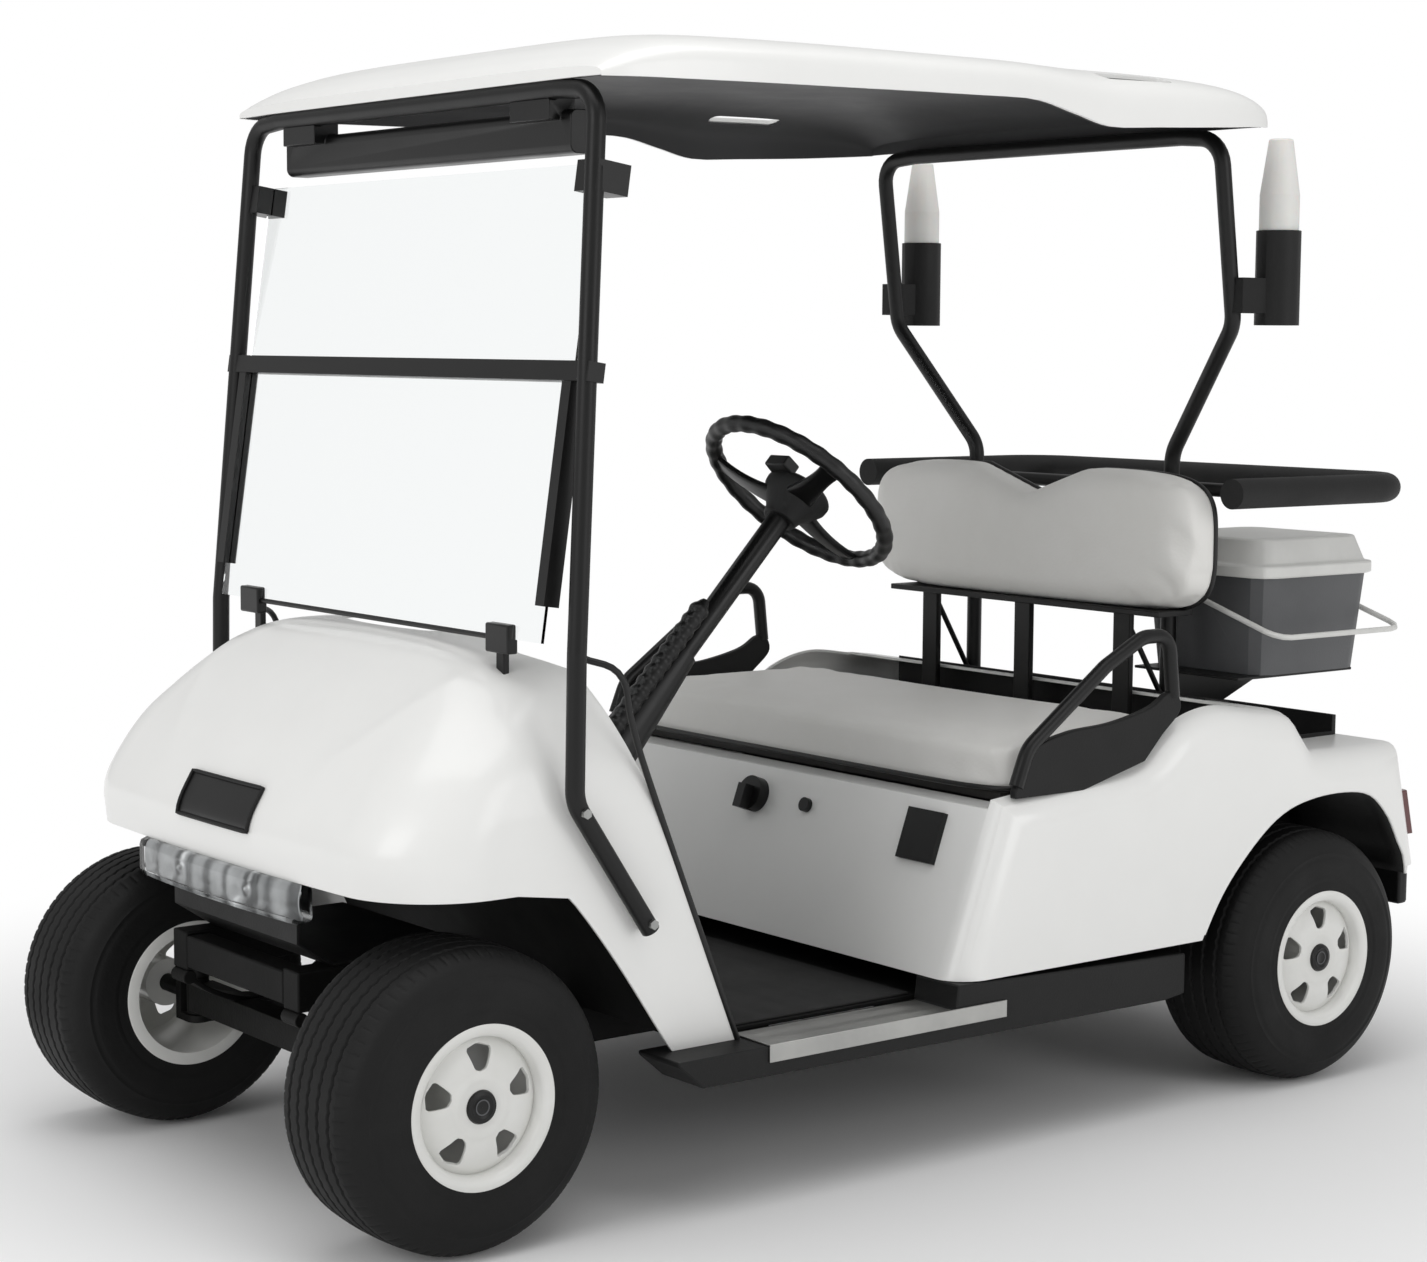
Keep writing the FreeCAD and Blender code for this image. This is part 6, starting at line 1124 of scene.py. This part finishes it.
def make_lamps():
    """A clear bowed lens over a fluted trough x = a cos(p y) - b (z / h)^2 with two deeper bowls in it."""
    dressed("headlight_bar", lamp_lens, edge_mm=11.0, sharp=35.0, name="headlight_lens")
    low, high = box_mm("headlight_bar")
    y = np.linspace(low[1] + 16, high[1] - 16, 220)[None, :]
    z = np.linspace(low[2] + 7, high[2] - 7, 34)[:, None]
    up = z - (low[2] + high[2]) / 2
    x = high[0] - LAMP_BACK - LAMP_BOW * (y / LAMP_HALF) ** 2
    x = x + FLUTE_DEPTH * np.cos(y * 2 * np.pi / FLUTE_PITCH)
    x = x - TROUGH_DEPTH * (up / (high[2] - low[2]) * 2) ** 2
    for place in BOWL_PLACES:
        x = x - BOWL_DEPTH * np.exp(-(((y - place) / BOWL_HALF) ** 4 + (up / BOWL_RISE) ** 4))
        x = x + BULB_DEPTH * np.exp(-(((y - place) / BULB_RADIUS) ** 2 + (up / BULB_RADIUS) ** 2))
    points = np.stack(np.broadcast_arrays(x, y, z), axis=-1)
    trough = sheet("headlight_reflectors", points, "chassis", lamp_silver, "lamp_clear", sharp=60.0)
    thicken(trough, 1.0, 0.0)


PANE_X, PANE_FOOT_Z, PANE_HALF, FOOT_RUBBER_RADIUS = 767.0, 846.0, 335.0, 4.0
# Reach in X, places across, reach in Z, finish and rounding of each fitting at the pane's foot
FOOT_FITTINGS = {
    "clip": ((-9, 9), (335.0, 394.0), (-22, 20), smooth_black, 3.0),
    "bracket": ((-13, -3), (346.0, 366.0), (-74, -16), tube_black, 1.5)}


def make_windshield_foot():
    """The lower pane's rubber edge and the two clips with brackets that hold it to the hood."""
    dressed("windshield_trim", smooth_black, edge_mm=2.0, sharp=32.0, above_mm=847.0)
    edge = np.array([(PANE_X, y, PANE_FOOT_Z - 1.0) for y in np.linspace(-PANE_HALF, PANE_HALF, 24)])
    rings = carried(edge, FOOT_RUBBER_RADIUS, 12)
    block("windshield_foot_rubber", rings, "chassis", welt_black, "frame_black")
    for word, side in SIDES:
        for part, (x, y, z, material, rounding) in FOOT_FITTINGS.items():
            rings = corners(np.add(x, PANE_X), sorted(side * place for place in y), np.add(z, PANE_FOOT_Z))
            small_block(f"windshield_{part}_{word}", rings, "chassis", material, "frame_black", rounding)


# Width in millimetres by which each remaining node's edges are rounded
EDGE_MM = {
    "front_suspension": 2.0, "rear_axle": 3.0, "rear_suspension": 1.0, "chassis_frame": 3.0, "floor_pan": 1.0,
    "floor_mat": 1.5, "rockers": 6.0, "scuff_plates": 0.8, "dash_panel": 3.0, "front_valance": 1.5,
    "bag_well": 2.0, "rear_bumper": 5.0, "taillights": 1.5, "seat_controls": 2.0, "battery_block": 6.0,
    "seat_board": 2.0, "seat_back_frame": 1.5, "windshield_panes": 0.0, "roof_visor": 2.0, "pedals": 4.0,
    "cooler_shelf": 1.0, "cooler_body": 3.0, "cooler_lid": 4.0, "cooler_handle": 0.0, "bottle_holders": 1.0,
    "sand_bottles": 3.0, "knuckle_left": 1.5, "knuckle_right": 1.5, "tie_rod": 1.0}
OWN_FINISH = {"seat_controls": smooth_black, "roof_visor": smooth_black}


def simple_nodes():
    """The remaining nodes keep their own shapes, with smooth shading and softened edges."""
    for node, edge in EDGE_MM.items():
        dressed(node, OWN_FINISH.get(node), edge_mm=edge, sharp=32.0)


# Stage, light and camera, in metres

CAMERA_AT = (2.9597, 3.6767, 1.2663)
YAW, PITCH, ROLL = 4.05147, 0.10295, 0.006508
LENS_MM, SENSOR_MM = 70.55, 36.0
FLOOR_HALF, FADE_START, FADE_END = 90.0, 0.9, 2.3
# Place, aim, width and power of each lamp
LAMPS = {
    "overhead": ((0.6, 0.4, 4.6), (0, 0, 0.6), 4.0, 80.0),
    "key": ((5.2, 1.2, 2.8), (0.3, 0, 0.7), 2.6, 46.0),
    "side": ((-1.5, 5.6, 2.4), (-0.3, 0, 0.5), 2.8, 44.0)}


def stand(name, data, right, up, back, spot):
    """An object in the scene whose X, Y and Z point right, up and back from its spot."""
    thing = bpy.data.objects.new(name, data)
    bpy.context.collection.objects.link(thing)
    matrix = np.eye(4)
    matrix[:3] = np.stack([right, up, back, spot], axis=1)
    thing.matrix_world = Matrix(matrix.tolist())
    return thing


def make_camera():
    """The photograph's view: yaw about Z, pitch down, then a slight roll."""
    ahead = np.array([math.cos(YAW) * math.cos(PITCH), math.sin(YAW) * math.cos(PITCH), -math.sin(PITCH)])
    right = unit(np.cross(ahead, [0, 0, 1]))
    up = np.cross(right, ahead)
    c, s = math.cos(ROLL), math.sin(ROLL)
    data = bpy.data.cameras.new("camera")
    data.lens, data.sensor_width, data.sensor_fit = LENS_MM, SENSOR_MM, "HORIZONTAL"
    data.clip_end = 500
    camera = stand("camera", data, c * right + s * up, -s * right + c * up, -ahead, CAMERA_AT)
    bpy.context.scene.camera = camera


def make_floor():
    """A pale floor that fades to white away from the cart: a smooth step over the distance from its middle."""
    mesh = bpy.data.meshes.new("floor")
    turns = ((-1, -1), (1, -1), (1, 1), (-1, 1))
    mesh.from_pydata([(FLOOR_HALF * a, FLOOR_HALF * b, 0) for a, b in turns], [], [[0, 1, 2, 3]])
    floor = bpy.data.objects.new("floor", mesh)
    bpy.context.collection.objects.link(floor)
    material = bpy.data.materials.new("pale_studio_floor")
    tree = emptied(material)
    place = add(tree, "ShaderNodeTexCoord", {}, {})
    reach = add(tree, "ShaderNodeVectorMath", {"operation": "LENGTH"}, {0: (place, "Object")})
    fade = add(tree, "ShaderNodeMapRange", {"interpolation_type": "SMOOTHSTEP"}, {
        "Value": (reach, "Value"), "From Min": FADE_START, "From Max": FADE_END, "To Min": 0.0, "To Max": 1.0})
    plain = add(tree, "ShaderNodeBsdfDiffuse", {}, {"Color": linear("#F4F4F4")})
    white = add(tree, "ShaderNodeEmission", {}, {"Color": (1, 1, 1, 1), "Strength": 1.0})
    mixed = add(tree, "ShaderNodeMixShader", {}, {
        0: (fade, "Result"), 1: (plain, "BSDF"), 2: (white, "Emission")})
    add(tree, "ShaderNodeOutputMaterial", {}, {"Surface": (mixed, "Shader")})
    mesh.materials.append(material)


def make_studio():
    """A world that is white to the camera, also through clear sheets, but dimmer as light, and its lamps."""
    world = bpy.data.worlds.new("studio")
    bpy.context.scene.world = world
    tree = emptied(world)
    path = add(tree, "ShaderNodeLightPath", {}, {})
    seen = add(tree, "ShaderNodeMath", {"operation": "MAXIMUM"}, {
        0: (path, "Is Camera Ray"), 1: (path, "Is Transmission Ray")})
    soft = add(tree, "ShaderNodeBackground", {}, {"Color": (1, 1, 1, 1), "Strength": 0.5})
    bright = add(tree, "ShaderNodeBackground", {}, {"Color": (1, 1, 1, 1), "Strength": 1.0})
    mixed = add(tree, "ShaderNodeMixShader", {}, {
        0: (seen, "Value"), 1: (soft, "Background"), 2: (bright, "Background")})
    add(tree, "ShaderNodeOutputWorld", {}, {"Surface": (mixed, "Shader")})
    for name, (spot, aim, width, power) in LAMPS.items():
        light = bpy.data.lights.new(name, "AREA")
        light.shape, light.size, light.energy = "SQUARE", width, power
        back = unit(np.array(spot) - np.array(aim))
        right = unit(np.cross([0, 0, 1], back))
        stand(name, light, right, np.cross(back, right), back, spot)
    bpy.context.scene.view_settings.view_transform = "Standard"


make_camera()
make_floor()
make_studio()
make_wheels()
make_cowl()
make_nose_plate()
make_roof()
make_rear_body()
make_seat()
make_seat_back()
make_tubes()
make_steering()
make_lamps()
make_windshield_foot()
make_braces()
simple_nodes()
